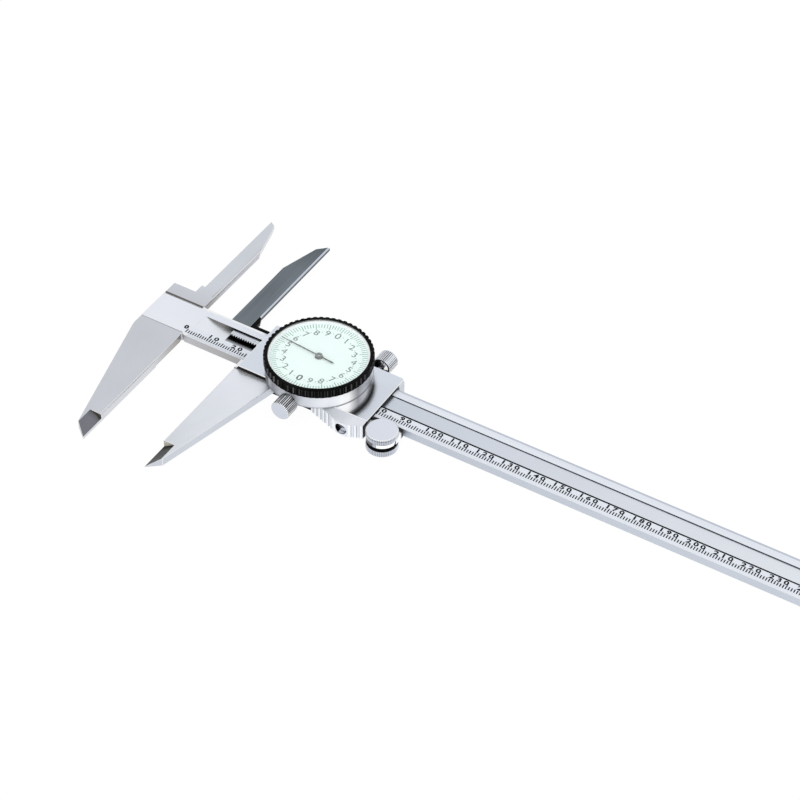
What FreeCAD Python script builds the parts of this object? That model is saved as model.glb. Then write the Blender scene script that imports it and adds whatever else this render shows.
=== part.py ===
import FreeCAD, Part
import math
import os

V = FreeCAD.Vector
doc = FreeCAD.newDocument("dial_caliper")

# ---------------------------------------------------------------------------
# Driving dimensions, millimetres.  X runs along the beam from the fixed
# outside measuring face (X = 0) to the beam's end, Y across the beam towards
# the inside jaws, Z out of the graduated face.  The outlines below count Y
# from the beam's lower edge; every piece is then placed by -origin_y, so that
# the finished frame has its origin on the graduated face, in the plane of the
# fixed measuring face and on the beam's centre line.
# ---------------------------------------------------------------------------
DIMS = [
    ("origin_y", 8.1),
    ("beam_left", -18.4), ("beam_right", 371.0), ("beam_width", 16.2), ("beam_thick", 3.4),
    ("beam_bevel", 1.2), ("beam_bevel_drop", 0.25),
    ("scale_left", 1.7), ("scale_drop", 0.02),
    ("groove_low", 5.2), ("groove_high", 12.4), ("groove_depth", 2.1), ("groove_start", 2.0),
    ("jaw_face_drop", 0.2), ("jaw_depth", 59.5), ("inner_layer", 1.75), ("opening", 25.53),
    ("rack_pitch", 1.0), ("rack_x0", 14.1), ("rack_teeth", 331), ("rack_y_pitch", 9.6),
    ("rack_top", 0.7), ("rack_back_y", 12.36),
    ("slider_left", 27.0), ("slider_right", 80.5), ("slider_low", -4.6), ("slider_high", 20.5),
    ("slider_back", 5.1), ("back_plate", 1.6), ("slide_gap", 0.05), ("cover_top", 1.5),
    ("gib_thick", 0.9),
    ("dial_x", 53.0), ("dial_y", 8.0), ("housing_r", 18.9), ("housing_bore_r", 17.4),
    ("housing_top", 6.65), ("bezel_r", 19.5), ("bezel_bottom", 6.75), ("bezel_top", 9.95),
    ("bezel_window_r", 17.97), ("bezel_grips", 54), ("face_z", 8.35), ("face_r", 17.8),
    ("arbor_dx", 8.394), ("arbor_dy", 0.31), ("pinion_teeth", 12), ("wheel_teeth", 120), ("centre_teeth", 20),
    ("wheel_module", 0.12),
    ("roller_x", 87.5), ("roller_y", -6.05), ("roller_r", 5.72), ("roller_top", 2.15), ("roller_bottom", -5.8),
    ("roller_core_r", 2.4),
    ("knob_r", 3.65), ("lock_x", 68.8), ("lock_z", -1.4), ("clamp_x", 53.7), ("clamp_z", 3.7),
    ("rod_low", 6.15), ("rod_high", 12.3), ("rod_top", -0.35), ("rod_lip", 0.3), ("rod_left", 62.0),
]
sheet = doc.addObject("Spreadsheet::Sheet", "dims")
D = {}
for row, (name, value) in enumerate(DIMS, start=1):
    sheet.set("A%d" % row, name)
    sheet.set("B%d" % row, str(value))
    sheet.setAlias("B%d" % row, name)
    D[name] = value
doc.recompute()

PARTS = []


def note(obj, label):
    obj.Label = label
    PARTS.append((label, obj))
    return obj


# -- PartDesign helpers ------------------------------------------------------
def body(label):
    b = doc.addObject("PartDesign::Body", label)
    return note(b, label)


def origin_plane(b, role):
    for f in b.Origin.OriginFeatures:
        if f.Role == role:
            return f
    raise RuntimeError("no plane " + role)


def draw(sk, loops):
    for loop in loops:
        if loop[0] == "circle":
            _, x, y, rad = loop
            sk.addGeometry(Part.Circle(V(x, y, 0), V(0, 0, 1), rad), False)
            continue
        pts = list(loop)
        prev = pts[0]
        segs = pts[1:] + [pts[0]]
        for p in segs:
            if len(p) == 4:      # arc given as (mid x, mid y, end x, end y)
                sk.addGeometry(Part.Arc(V(prev[0], prev[1], 0), V(p[0], p[1], 0), V(p[2], p[3], 0)), False)
                prev = (p[2], p[3])
            else:
                if math.hypot(p[0] - prev[0], p[1] - prev[1]) > 1e-7:
                    sk.addGeometry(Part.LineSegment(V(prev[0], prev[1], 0), V(p[0], p[1], 0)), False)
                prev = (p[0], p[1])


def sketch(b, name, role, offset, loops):
    sk = b.newObject("Sketcher::SketchObject", name)
    sk.AttachmentSupport = [(origin_plane(b, role), "")]
    sk.MapMode = "FlatFace"
    if isinstance(offset, str):
        sk.setExpression("AttachmentOffset.Base.z", offset)
    else:
        sk.AttachmentOffset = FreeCAD.Placement(V(0, 0, offset), FreeCAD.Rotation())
    draw(sk, loops)
    return sk


def pad(b, name, role, offset, length, loops, reverse=False):
    sk = sketch(b, name + "_sk", role, offset, loops)
    f = b.newObject("PartDesign::Pad", name)
    f.Profile = sk
    if isinstance(length, str):
        f.setExpression("Length", length)
    else:
        f.Length = length
    f.Reversed = reverse
    sk.Visibility = False
    doc.recompute()
    return f


def pocket(b, name, role, offset, length, loops, reverse=False):
    before = b.Shape.Volume
    sk = sketch(b, name + "_sk", role, offset, loops)
    f = b.newObject("PartDesign::Pocket", name)
    f.Profile = sk
    if isinstance(length, str):
        f.setExpression("Length", length)
    else:
        f.Length = length
    f.Reversed = reverse
    sk.Visibility = False
    doc.recompute()
    after = b.Shape.Volume
    if not after < before - 1e-4:
        raise RuntimeError("pocket %s/%s removed nothing (%.4f -> %.4f)" % (b.Label, name, before, after))
    return f


# -- primitive helpers -------------------------------------------------------
AX = {"z": FreeCAD.Rotation(), "-z": FreeCAD.Rotation(V(1, 0, 0), 180),
      "y": FreeCAD.Rotation(V(1, 0, 0), -90), "-y": FreeCAD.Rotation(V(1, 0, 0), 90),
      "x": FreeCAD.Rotation(V(0, 1, 0), 90)}
count = [0]


def nm(base):
    count[0] += 1
    return "%s_%d" % (base, count[0])


def setp(obj, prop, val):
    if isinstance(val, str):
        obj.setExpression(prop, val)
    else:
        setattr(obj, prop, val)


def cyl(rad, height, pos, axis="z"):
    o = doc.addObject("Part::Cylinder", nm("cyl"))
    setp(o, "Radius", rad)
    setp(o, "Height", height)
    o.Placement = FreeCAD.Placement(V(*pos), AX[axis])
    return o


def cone(r1, r2, height, pos, axis="z"):
    o = doc.addObject("Part::Cone", nm("cone"))
    setp(o, "Radius1", r1)
    setp(o, "Radius2", r2)
    setp(o, "Height", height)
    o.Placement = FreeCAD.Placement(V(*pos), AX[axis])
    return o


def box(x0, y0, z0, x1, y1, z1):
    o = doc.addObject("Part::Box", nm("box"))
    o.Length, o.Width, o.Height = x1 - x0, y1 - y0, z1 - z0
    o.Placement = FreeCAD.Placement(V(x0, y0, z0), FreeCAD.Rotation())
    return o


def prism(points, height, pos, axis="z"):
    """A closed outline drawn with Part's own wire, extruded along its normal."""
    pts = [V(x, y, 0) for x, y in points]
    pts.append(pts[0])
    w = doc.addObject("Part::Feature", nm("outline"))
    w.Shape = Part.Face(Part.makePolygon(pts))
    e = doc.addObject("Part::Extrusion", nm("prism"))
    e.Base = w
    e.DirMode = "Custom"
    e.Dir = V(0, 0, 1)
    e.Solid = True
    setp(e, "LengthFwd", height)
    e.Placement = FreeCAD.Placement(V(*pos), AX[axis])
    return e


def fuse(objs, label=None):
    o = doc.addObject("Part::MultiFuse", label or nm("fuse"))
    o.Shapes = objs
    o.Refine = True
    return note(o, label) if label else o


def cut(base, tools, label=None):
    tool = tools[0] if len(tools) == 1 else group(tools)
    o = doc.addObject("Part::Cut", label or nm("cut"))
    o.Base = base
    o.Tool = tool
    o.Refine = True
    return note(o, label) if label else o


def group(objs, label=None):
    """Separate solids kept as one piece-group (identical fasteners)."""
    o = doc.addObject("Part::Compound", label or nm("group"))
    o.Links = objs
    return note(o, label) if label else o


def ridged(n, r_out, r_in, duty=0.5, slope=0.15):
    """Outline of a ridged grip: n ridges between two radii."""
    pts = []
    step = 2 * math.pi / n
    for i in range(n):
        a = i * step
        for frac, rad in ((-duty / 2 - slope, r_in), (-duty / 2, r_out), (duty / 2, r_out), (duty / 2 + slope, r_in)):
            t = a + frac * step
            pts.append((rad * math.cos(t), rad * math.sin(t)))
    return pts


def gear(n, module, add, ded, thick, phase=0.0):
    """Toothed outline: straight-flanked teeth on the pitch circle."""
    rp = n * module / 2.0
    pts = []
    for i in range(n):
        a = 2 * math.pi * i / n + phase
        half = thick / 2.0 / rp
        tan20 = math.tan(math.radians(20))
        hr = half + ded * tan20 / rp
        ht = half - add * tan20 / rp
        for rad, h in ((rp - ded, -hr), (rp + add, -ht), (rp + add, ht), (rp - ded, hr)):
            pts.append((rad * math.cos(a + h), rad * math.sin(a + h)))
    return pts


# ===========================================================================
# 1. The beam with the fixed jaws
# ===========================================================================
beam = body("main_beam")
bt = D["beam_thick"]
fd = D["jaw_face_drop"]
pad(beam, "bar", "XY_Plane", "-dims.beam_thick", "dims.beam_thick",
    [[(D["beam_left"], 1.0), (-0.35, 1.0), (-0.35, 0.0), (D["beam_right"], 0.0), (D["beam_right"], D["beam_width"]),
      (-1.7, D["beam_width"]), (-1.7, 15.4), (D["beam_left"], 15.4)]])
# fixed outside jaw: straight outer flank, relieved root, knife nib at the end
pad(beam, "outside_jaw", "XY_Plane", "-dims.beam_thick", "dims.beam_thick - dims.jaw_face_drop",
    [[(D["beam_left"], 1.2), (D["beam_left"], -2.6), (-18.28, -4.2, -17.9, -5.8), (-4.95, -55.4), (0.0, -D["jaw_depth"]), (0.0, -16.6),
      (-0.35, -15.6), (-0.35, 1.2)]])
# fixed inside jaw: front layer only, so that the moving one passes behind it
pad(beam, "inside_jaw_root", "XY_Plane", "-dims.inner_layer", "dims.inner_layer - dims.jaw_face_drop",
    [[(D["beam_left"], 15.2), (-1.7, 15.2), (-1.7, 22.0), (-7.6, 25.8), (-9.1, 25.8), (-9.1, 21.8), (D["beam_left"], 21.8)]])
pad(beam, "inside_jaw_blade", "XZ_Plane", -70.2, 54.6,
    [[(-7.6, -1.75), (-7.6, -0.2), (-2.45, -0.2), (-1.75, -0.5), (-0.7, -1.75)]])
pocket(beam, "inside_jaw_tip", "XY_Plane", -4.0, 6.0,
       [[(-7.7, 69.8), (-5.4, 68.3), (-4.4, 65.6), (-1.3, 52.4), (-0.3, 50.0), (2.0, 50.0), (2.0, 72.0), (-7.7, 72.0)]], True)
# knife bevel on the outside nib, falling towards the measuring edge
pocket(beam, "outside_nib_bevel", "XZ_Plane", 48.7, 14.0,
       [[(-4.7, -0.2), (0.6, -0.2 - 5.3 * 0.447), (0.6, 0.6), (-4.7, 0.6)]], True)
# small chamfer along the front of the outside measuring face
pocket(beam, "measuring_edge_bevel", "XZ_Plane", 0.4, 48.4,
       [[(-0.42, -0.15), (0.3, -0.15), (0.3, -0.60)]], True)
# round relief in the corner between the jaw and the beam's edge
pocket(beam, "corner_relief", "XY_Plane", -5.0, 6.0, [("circle", 0.05, -0.25, 0.62)], True)
# dark dividing line between the block and the inside jaw's root
pocket(beam, "dividing_groove", "XY_Plane", -0.45, 1.0,
       [[(D["beam_left"] - 1, 15.1), (-1.7, 15.1), (-1.7, 15.45), (D["beam_left"] - 1, 15.45)]], True)
# bevelled upper edge of the graduated face
pocket(beam, "upper_bevel", "YZ_Plane", -0.4, "dims.beam_right + 1",
       [[(D["beam_width"] - D["beam_bevel"], 0.0), (D["beam_width"] + 0.5, -D["beam_bevel_drop"] * (D["beam_bevel"] + 0.5) / D["beam_bevel"]),
         (D["beam_width"] + 0.5, 0.5), (D["beam_width"] - D["beam_bevel"], 0.5)]], True)
# the graduated area is lapped slightly lower than the block
pocket(beam, "scale_area", "XY_Plane", "-dims.scale_drop", 1.0,
       [[(D["scale_left"], -0.5), (D["beam_right"] + 1, -0.5), (D["beam_right"] + 1, D["beam_width"] + 0.5), (D["scale_left"], D["beam_width"] + 0.5)]], True)
# groove for the rack and the depth rod, with the cutter's run-out at its left end
gs = D["groove_start"]
gd = D["groove_depth"]
run = 11.5
rad = (run * run + gd * gd) / (2 * gd)
xm = gs + run * 0.5
zm = -(gd - (rad - math.sqrt(rad * rad - (run * 0.5) ** 2)))
pocket(beam, "rack_groove", "XZ_Plane", "-dims.groove_high", "dims.groove_high - dims.groove_low",
       [[(gs, 0.0), (xm, zm, gs + run, -gd), (D["beam_right"] + 1, -gd), (D["beam_right"] + 1, 0.6), (gs, 0.6)]], True)
# pinned fixing holes for the rack
RACK_PINS = [24.45, 130.0, 236.0, 334.0]
pocket(beam, "rack_pin_holes", "XY_Plane", -3.0, 1.5, [("circle", x, 10.9, 0.75) for x in RACK_PINS], True)
# tapped hole for the travel stop on the back
pocket(beam, "stop_hole", "XY_Plane", -4.0, 3.0, [("circle", 358.2, 2.6, 1.0)], True)
# slight bevel at the beam's free end
pocket(beam, "end_corner", "XY_Plane", -5.0, 6.0,
       [[(370.2, -0.2), (371.5, -0.2), (371.5, 1.0), (371.0, 0.8)]], True)

# ===========================================================================
# 2. Rack, its pins and the travel stop
# ===========================================================================
p = D["rack_pitch"]
x0 = D["rack_x0"]
yp = D["rack_y_pitch"]
yb = D["rack_back_y"]
pts = [(x0, yb), (x0, yp + 0.33)]
xr = 44.606
first = x0 + 0.9
shift = ((xr - first) / p) % 1.0
xs = first + shift * p
n = int(D["rack_teeth"]) - 10
for i in range(n):
    c = xs + i * p
    pts += [(c - 0.21 - 0.12, yp + 0.33), (c - 0.21 + 0.09, yp - 0.25), (c + 0.21 - 0.09, yp - 0.25), (c + 0.21 + 0.12, yp + 0.33)]
x1 = pts[-1][0] + 0.6
pts += [(x1, yp + 0.33), (x1, yb)]
rack_bar = prism(pts, D["groove_depth"] - D["rack_top"], (0, 0, -D["groove_depth"]))
rack_bar.setExpression("LengthFwd", "dims.groove_depth - dims.rack_top")
rack = cut(rack_bar, [cyl(0.75, 2.0, (x, 10.9, -2.4)) for x in RACK_PINS], "rack")
pins = []
for x in RACK_PINS:
    pins.append(cut(cyl(0.75, 2.2, (x, 10.9, -2.9)), [box(x - 0.9, 10.9 - 0.1, -0.9, x + 0.9, 10.9 + 0.1, -0.5)]))
group(pins, "rack_screws")

stop = cut(fuse([cyl(1.0, 1.6, (358.2, 2.6, -bt)), cyl(1.7, 1.2, (358.2, 2.6, -bt - 1.2))]),
           [box(356.0, 2.4, -bt - 1.4, 360.0, 2.8, -bt - 0.75)], "travel_stop_screw")

# ===========================================================================
# 3. Slider frame with the moving jaws
# ===========================================================================
sl, sr, slo, shi = D["slider_left"], D["slider_right"], D["slider_low"], D["slider_high"]
xo = D["opening"]
sb = D["slider_back"]
frame = body("slider_frame")
pad(frame, "back_plate_pad", "XY_Plane", "-dims.slider_back", "dims.back_plate",
    [[(xo + 0.5, slo), (sr, slo), (sr, shi), (sl, shi), (sl, 16.0), (xo + 0.5, 14.0)]])
pad(frame, "lower_wall", "XY_Plane", -(sb - 0.6), sb - 0.6 + 0.05,
    [[(xo, slo), (sr, slo), (sr, -0.05), (xo, -0.05)]])
pad(frame, "upper_wall", "XY_Plane", -(sb - 0.6), sb - 0.6 + 0.05,
    [[(sl, 17.2), (sr, 17.2), (sr, shi), (sl, shi)]])
pad(frame, "moving_outside_jaw", "XY_Plane", "-dims.beam_thick", "dims.beam_thick - dims.jaw_face_drop",
    [[(xo, -0.05), (xo, -D["jaw_depth"]), (xo + 4.9, -55.5), (42.9, -4.4), (42.9, -0.05)]])
pad(frame, "moving_inside_jaw", "XY_Plane", "-dims.beam_thick", "dims.beam_thick - dims.inner_layer - 0.1",
    [[(9.6, 16.3), (sl + 1.5, 16.3), (sl + 1.5, 19.4), (18.95, 19.4), (19.1, 21.5), (17.93, 24.0), (17.93, 70.3), (14.15, 66.7),
      (9.6, 51.3)]])
# the arm behind the beam's edge and the jaw's shoulder lie a little lower than the blade
pocket(frame, "arm_step", "XY_Plane", -2.1, 1.0,
       [[(17.4, 16.2), (sl - 0.1, 16.2), (sl - 0.1, 19.6), (19.3, 19.6), (19.3, 24.1), (17.4, 24.1)]], True)
# thumb lug below the slider's right half
lug = [(57.4, slo + 0.3), (57.9, -5.1), (64.5, -7.3), (69.5, -8.85), (72.9, -9.5, 76.4, -8.75), (80.3, -7.1), (80.4, -5.6), (80.4, slo + 0.3)]
pad(frame, "thumb_lug", "XY_Plane", "-dims.slider_back", "dims.slider_back + 1.35", [lug])
# the lug's top falls away towards the thumb
pocket(frame, "lug_fall", "YZ_Plane", 55.0, 27.0,
       [[(slo + 0.02, 1.36), (-10.2, 0.30), (-10.2, 2.0), (slo + 0.02, 2.0)]], True)
# the lug's top stops at the cover's lower edge
pocket(frame, "lug_step", "XY_Plane", 0.05, 3.0, [[(56.0, slo - 0.04), (82.0, slo - 0.04), (82.0, slo + 1.5), (56.0, slo + 1.5)]], True)
# knife bevels of the moving jaws
pocket(frame, "moving_nib_bevel", "XZ_Plane", 47.8, 14.0,
       [[(xo + 4.7, -0.2), (xo - 0.6, -0.2 - 5.3 * 0.64), (xo - 0.6, 0.6), (xo + 4.7, 0.6)]], True)
pocket(frame, "inside_blade_bevel", "XZ_Plane", -72.0, 48.0,
       [[(17.35, -1.8), (18.6, -2.9), (18.6, -1.5), (17.35, -1.5)]], True)
pocket(frame, "moving_edge_bevel", "XZ_Plane", 4.8, 42.8,
       [[(xo + 0.55, -0.15), (xo - 0.3, -0.15), (xo - 0.3, -0.85)]], True)
# ribs of the thumb rest: broad shallow flutes across the lug's outer wall
flutes = []
edge = [(58.6, -5.35), (64.5, -7.3), (69.5, -8.85), (70.4, -9.06)]


def along(points, start, pitch, end):
    out = []
    seg = []
    total = 0.0
    for a, b in zip(points[:-1], points[1:]):
        L = math.hypot(b[0] - a[0], b[1] - a[1])
        seg.append((total, L, a, b))
        total += L
    d = start
    while d < min(total, end):
        for s0, L, a, b in seg:
            if s0 <= d <= s0 + L:
                f = (d - s0) / L
                out.append((a[0] + (b[0] - a[0]) * f, a[1] + (b[1] - a[1]) * f, (b[0] - a[0]) / L, (b[1] - a[1]) / L))
                break
        d += pitch
    return out


for px, py, tx, ty in along(edge, 0.7, 2.15, 10.6) + along([(76.6, -8.66), (80.2, -7.15)], 0.4, 1.95, 99):
    nx, ny = (ty, -tx)
    if ny > 0:
        nx, ny = -nx, -ny
    flutes.append([(px + tx * 0.75 + nx * 0.3, py + ty * 0.75 + ny * 0.3), (px - tx * 0.75 + nx * 0.3, py - ty * 0.75 + ny * 0.3),
                   (px - tx * 0.42 - nx * 0.28, py - ty * 0.42 - ny * 0.28), (px + tx * 0.42 - nx * 0.28, py + ty * 0.42 - ny * 0.28)])
pocket(frame, "thumb_flutes", "XY_Plane", -6.0, 8.0, flutes, True)
# bore for the bracket's clamp screw, through the lug into the bracket's slot
pocket(frame, "clamp_bore", "XZ_Plane", 4.75, 8.0, [("circle", 72.7, -2.35, 2.25)], True)
pocket(frame, "clamp_stem_bore", "XZ_Plane", 3.5, 2.0, [("circle", 72.7, -2.35, 1.25)], True)
# slot that holds the roller bracket's tab
pocket(frame, "bracket_slot", "XY_Plane", -1.67, 1.8, [[(68.8, -4.0), (81.0, -4.0), (81.0, -0.75), (68.8, -0.75)]], True)
# bores in the upper wall for the gib screws and the lock screw
GIB_X = [32.5, 75.8]
pocket(frame, "gib_bores", "XZ_Plane", -21.0, 4.2, [("circle", x, D["lock_z"], 0.92) for x in GIB_X] + [("circle", D["lock_x"], D["lock_z"], 1.1)], True)
# four countersunk holes from the back for the cover's screws
CS = [(30.5, -2.4), (64.5, -2.4), (30.5, 18.9), (78.0, 18.9)]
pocket(frame, "cover_holes", "XY_Plane", -5.2, 5.6, [("circle", x, y, 0.85) for x, y in CS], True)
pocket(frame, "cover_heads", "XY_Plane", -5.2, 1.2, [("circle", x, y, 1.5) for x, y in CS], True)

# gib between the beam's upper edge and the frame's upper wall
gib = box(28.8, 16.24, -3.3, 80.0, 16.24 + D["gib_thick"], -0.28)
gib.setExpression("Width", "dims.gib_thick")
dimples = [cone(0.35, 0.7, 0.25, (x, 16.9, D["lock_z"]), "y") for x in GIB_X]
cut(gib, dimples, "gib")
gs_list = []
for x in GIB_X:
    s1 = fuse([cyl(0.88, 3.1, (x, 17.25, D["lock_z"]), "y"), cone(0.3, 0.62, 0.2, (x, 17.05, D["lock_z"]), "y")])
    gs_list.append(cut(s1, [box(x - 1.0, 20.35 - 0.5, D["lock_z"] - 0.13, x + 1.0, 20.6, D["lock_z"] + 0.13)]))
group(gs_list, "gib_screws")

# ===========================================================================
# 4. Front cover, dial housing, movement
# ===========================================================================
cx, cy = D["dial_x"], D["dial_y"]
ax_, ay_ = cx - D["arbor_dx"], cy - D["arbor_dy"]
cover = body("slider_cover")
pad(cover, "cover_plate", "XY_Plane", 0.07, "dims.cover_top - 0.07",
    [[(26.6, slo), (sr, slo), (sr, shi - 0.9), (sr - 0.26, shi - 0.26, sr - 0.9, shi), (26.6, shi)]])
pocket(cover, "reading_edge", "XZ_Plane", -30.0, 40.0,
       [[(26.4, 1.7), (27.3, 1.7), (26.4, 0.35)]], True)
pocket(cover, "arbor_hole", "XY_Plane", -0.5, 3.0, [("circle", ax_, ay_, 2.5)], True)
pocket(cover, "cover_taps", "XY_Plane", -0.2, 1.2, [("circle", x, y, 0.85) for x, y in CS], True)
HS = [(cx + 13.0 * math.cos(math.radians(a)), cy + 13.0 * math.sin(math.radians(a))) for a in (75, 195, 315)]
HS = [(x, y) for x, y in HS]
pocket(cover, "housing_screw_holes", "XY_Plane", -0.5, 3.0, [("circle", x, y, 0.85) for x, y in HS], True)
pocket(cover, "housing_screw_heads", "XY_Plane", -0.5, 1.25, [("circle", x, y, 1.5) for x, y in HS], True)
ROD_SCREWS = [66.5, 74.5]
pocket(cover, "rod_screw_holes", "XY_Plane", -0.2, 1.3, [("circle", x, 7.5, 0.65) for x in ROD_SCREWS], True)

cs_list = []
for x, y in CS:
    s1 = fuse([cyl(0.83, 5.1, (x, y, -4.1)), cyl(1.45, 0.85, (x, y, -4.9))])
    cs_list.append(cut(s1, [box(x - 1.6, y - 0.16, -5.0, x + 1.6, y + 0.16, -4.5)]))
group(cs_list, "cover_screws")

housing = body("dial_housing")
housing.Placement = FreeCAD.Placement(V(cx, cy, 0), FreeCAD.Rotation())
pad(housing, "housing_wall", "XY_Plane", "dims.cover_top", "dims.housing_top - dims.cover_top",
    [("circle", 0, 0, D["housing_r"]), ("circle", 0, 0, D["housing_bore_r"])])
pad(housing, "housing_floor", "XY_Plane", "dims.cover_top", 0.8, [("circle", 0, 0, D["housing_r"] - 0.1)])
pad(housing, "bezel_seat", "XY_Plane", "dims.housing_top - 0.3", 1.1, [("circle", 0, 0, 17.85), ("circle", 0, 0, 16.9)])
pad(housing, "seat_web", "XY_Plane", "dims.housing_top - 0.9", 0.9, [("circle", 0, 0, 17.9), ("circle", 0, 0, 16.9)])
pocket(housing, "floor_hole", "XY_Plane", 1.0, 2.0, [("circle", ax_ - cx, ay_ - cy, 2.5)], True)
pocket(housing, "housing_taps", "XY_Plane", 1.0, 2.0, [("circle", x - cx, y - cy, 0.85) for x, y in HS], True)
pocket(housing, "clamp_hole", "XZ_Plane", 15.0, 6.0, [("circle", D["clamp_x"] - cx, D["clamp_z"], 1.3)], True)
pocket(housing, "spring_groove", "XY_Plane", "dims.housing_top + 0.15", 0.45, [("circle", 0, 0, 18.2), ("circle", 0, 0, 17.45)], True)
hs_list = []
for x, y in HS:
    s1 = fuse([cyl(0.83, 1.7, (x, y, 0.55)), cyl(1.45, 0.62, (x, y, 0.12))])
    hs_list.append(cut(s1, [box(x - 1.6, y - 0.16, 0.0, x + 1.6, y + 0.16, 0.4)]))
group(hs_list, "housing_screws")

# movement: base plate, three pillars, bridge and its screws
PIL = [(11.3 * math.cos(math.radians(a)), 11.3 * math.sin(math.radians(a))) for a in (20, 128, 262)]
base = body("movement_base")
base.Placement = FreeCAD.Placement(V(cx, cy, 0), FreeCAD.Rotation())
pad(base, "base_disc", "XY_Plane", 2.32, 0.78, [("circle", 0, 0, 14.6)])
pocket(base, "base_bores", "XY_Plane", 2.0, 1.5, [("circle", 0, 0, 0.95), ("circle", ax_ - cx, ay_ - cy, 1.15)], True)
pillars = group([cyl(1.2, 3.2, (cx + x, cy + y, 3.1)) for x, y in PIL], "movement_pillars")
bridge = body("movement_bridge")
bridge.Placement = FreeCAD.Placement(V(cx, cy, 0), FreeCAD.Rotation())
pad(bridge, "bridge_disc", "XY_Plane", 6.3, 0.7, [("circle", 0, 0, 14.2)])
pocket(bridge, "bridge_bores", "XY_Plane", 6.0, 1.5,
       [("circle", 0, 0, 0.95), ("circle", ax_ - cx, ay_ - cy, 0.95)] + [("circle", x, y, 0.62) for x, y in PIL], True)
bs = []
for x, y in PIL:
    s1 = fuse([cyl(0.6, 1.1, (cx + x, cy + y, 6.3)), cyl(1.15, 0.45, (cx + x, cy + y, 7.0))])
    bs.append(cut(s1, [box(cx + x - 1.3, cy + y - 0.13, 7.25, cx + x + 1.3, cy + y + 0.13, 7.6)]))
group(bs, "bridge_screws")
bush = []
for x, y, z0, hgt, r_in in ((cx, cy, 2.32, 0.78, 0.42), (cx, cy, 6.3, 0.7, 0.55), (ax_, ay_, 2.32, 0.78, 0.68), (ax_, ay_, 6.3, 0.7, 0.45)):
    r_o = 1.12 if z0 < 3 and x == ax_ else 0.92
    bush.append(cut(cyl(r_o, hgt, (x, y, z0)), [cyl(r_in, hgt + 1.0, (x, y, z0 - 0.5))]))
group(bush, "arbor_bushes")

# rack pinion on its arbor, drive wheel, take-up wheel and its spring
ph = math.pi / 2
pin_teeth = int(D["pinion_teeth"])
pm = D["rack_pitch"] / math.pi
pinion = prism(gear(pin_teeth, pm, 0.24, 0.33, 0.40, ph + math.pi / pin_teeth), 1.15, (0, 0, -1.95))
shaft_low = cyl(0.62, 4.2, (0, 0, -1.0))
shaft_top = cyl(0.40, 3.7, (0, 0, 3.1))
collar = cyl(1.0, 0.3, (0, 0, 3.15))
arbor = fuse([pinion, shaft_low, shaft_top, collar], "pinion_arbor")
arbor.Placement = FreeCAD.Placement(V(ax_, ay_, 0), FreeCAD.Rotation())
wm = D["wheel_module"]
N1 = int(D["wheel_teeth"])
N2 = int(D["centre_teeth"])
mesh_a = math.atan2(D["arbor_dy"], D["arbor_dx"])


def spoked(outline, z0, h, r_hub, r_in, r_rim, spokes, label):
    disc = prism(outline, h, (0, 0, z0))
    cuts = [cyl(r_in, h + 1.0, (0, 0, z0 - 0.5))]
    ring = cut(cyl(r_rim, h + 1.0, (0, 0, z0 - 0.5)), [cyl(r_hub, h + 2.0, (0, 0, z0 - 1.0))])
    bars = []
    for k in range(spokes):
        bx = box(0, -0.5, z0 - 1.0, r_rim + 0.5, 0.5, z0 + h + 1.0)
        bx.Placement = FreeCAD.Placement(V(0, 0, 0), FreeCAD.Rotation(V(0, 0, 1), 360.0 * k / spokes)).multiply(
            FreeCAD.Placement(V(0, -0.5, z0 - 1.0), FreeCAD.Rotation()))
        bars.append(bx)
    windows = cut(ring, bars)
    return cut(disc, cuts + [windows], label)


wheel = spoked(gear(N1, wm, 0.09, 0.13, 0.14, mesh_a), 3.5, 0.5, 1.9, 0.41, 5.9, 5, "drive_wheel")
wheel.Placement = FreeCAD.Placement(V(ax_, ay_, 0), FreeCAD.Rotation())
wheel2 = spoked(gear(N1, wm, 0.09, 0.13, 0.14, mesh_a), 4.45, 0.35, 1.9, 0.41, 5.9, 5, "takeup_wheel")
wheel2.Placement = FreeCAD.Placement(V(ax_, ay_, 0), FreeCAD.Rotation())
sp_out, sp_in = cyl(1.75, 0.4, (0, 0, 4.02)), cyl(1.35, 1.0, (0, 0, 3.7))
tspring = cut(sp_out, [sp_in, box(1.0, -0.3, 3.8, 2.2, 0.3, 4.6)], "takeup_spring")
tspring.Placement = FreeCAD.Placement(V(ax_, ay_, 0), FreeCAD.Rotation())

cp = prism(gear(N2, wm, 0.09, 0.13, 0.14, mesh_a + math.pi + math.pi / N2), 1.5, (0, 0, 3.4))
centre = fuse([cp, cyl(0.40, 1.2, (0, 0, 2.4)), cyl(0.50, 4.6, (0, 0, 4.4)), cyl(0.75, 0.25, (0, 0, 5.2))], "centre_arbor")
centre.Placement = FreeCAD.Placement(V(cx, cy, 0), FreeCAD.Rotation())

# pointer: needle with a counterweight tail, at the reading of the rest pose
ang = 174.7
needle = [(1.1, 0.21), (9.0, 0.19), (16.6, 0.07), (16.6, -0.07), (9.0, -0.19), (1.1, -0.21),
          (-1.1, -0.24), (-5.2, -0.24), (-5.3, -0.42), (-6.6, -0.02), (-6.6, 0.02), (-5.3, 0.42), (-5.2, 0.24), (-1.1, 0.24)]
pt = cut(fuse([prism(needle, 0.16, (0, 0, 8.78)), cyl(1.05, 0.16, (0, 0, 8.78))]), [cyl(0.505, 1.0, (0, 0, 8.4))], "pointer")
pt.Placement = FreeCAD.Placement(V(cx, cy, 0), FreeCAD.Rotation(V(0, 0, 1), ang))
hub = cut(fuse([cyl(1.25, 0.26, (0, 0, 8.94)), cone(1.25, 0.85, 0.09, (0, 0, 9.20))]), [cyl(0.505, 1.0, (0, 0, 8.6))], "pointer_hub")
hub.Placement = FreeCAD.Placement(V(cx, cy, 0), FreeCAD.Rotation())

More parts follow.
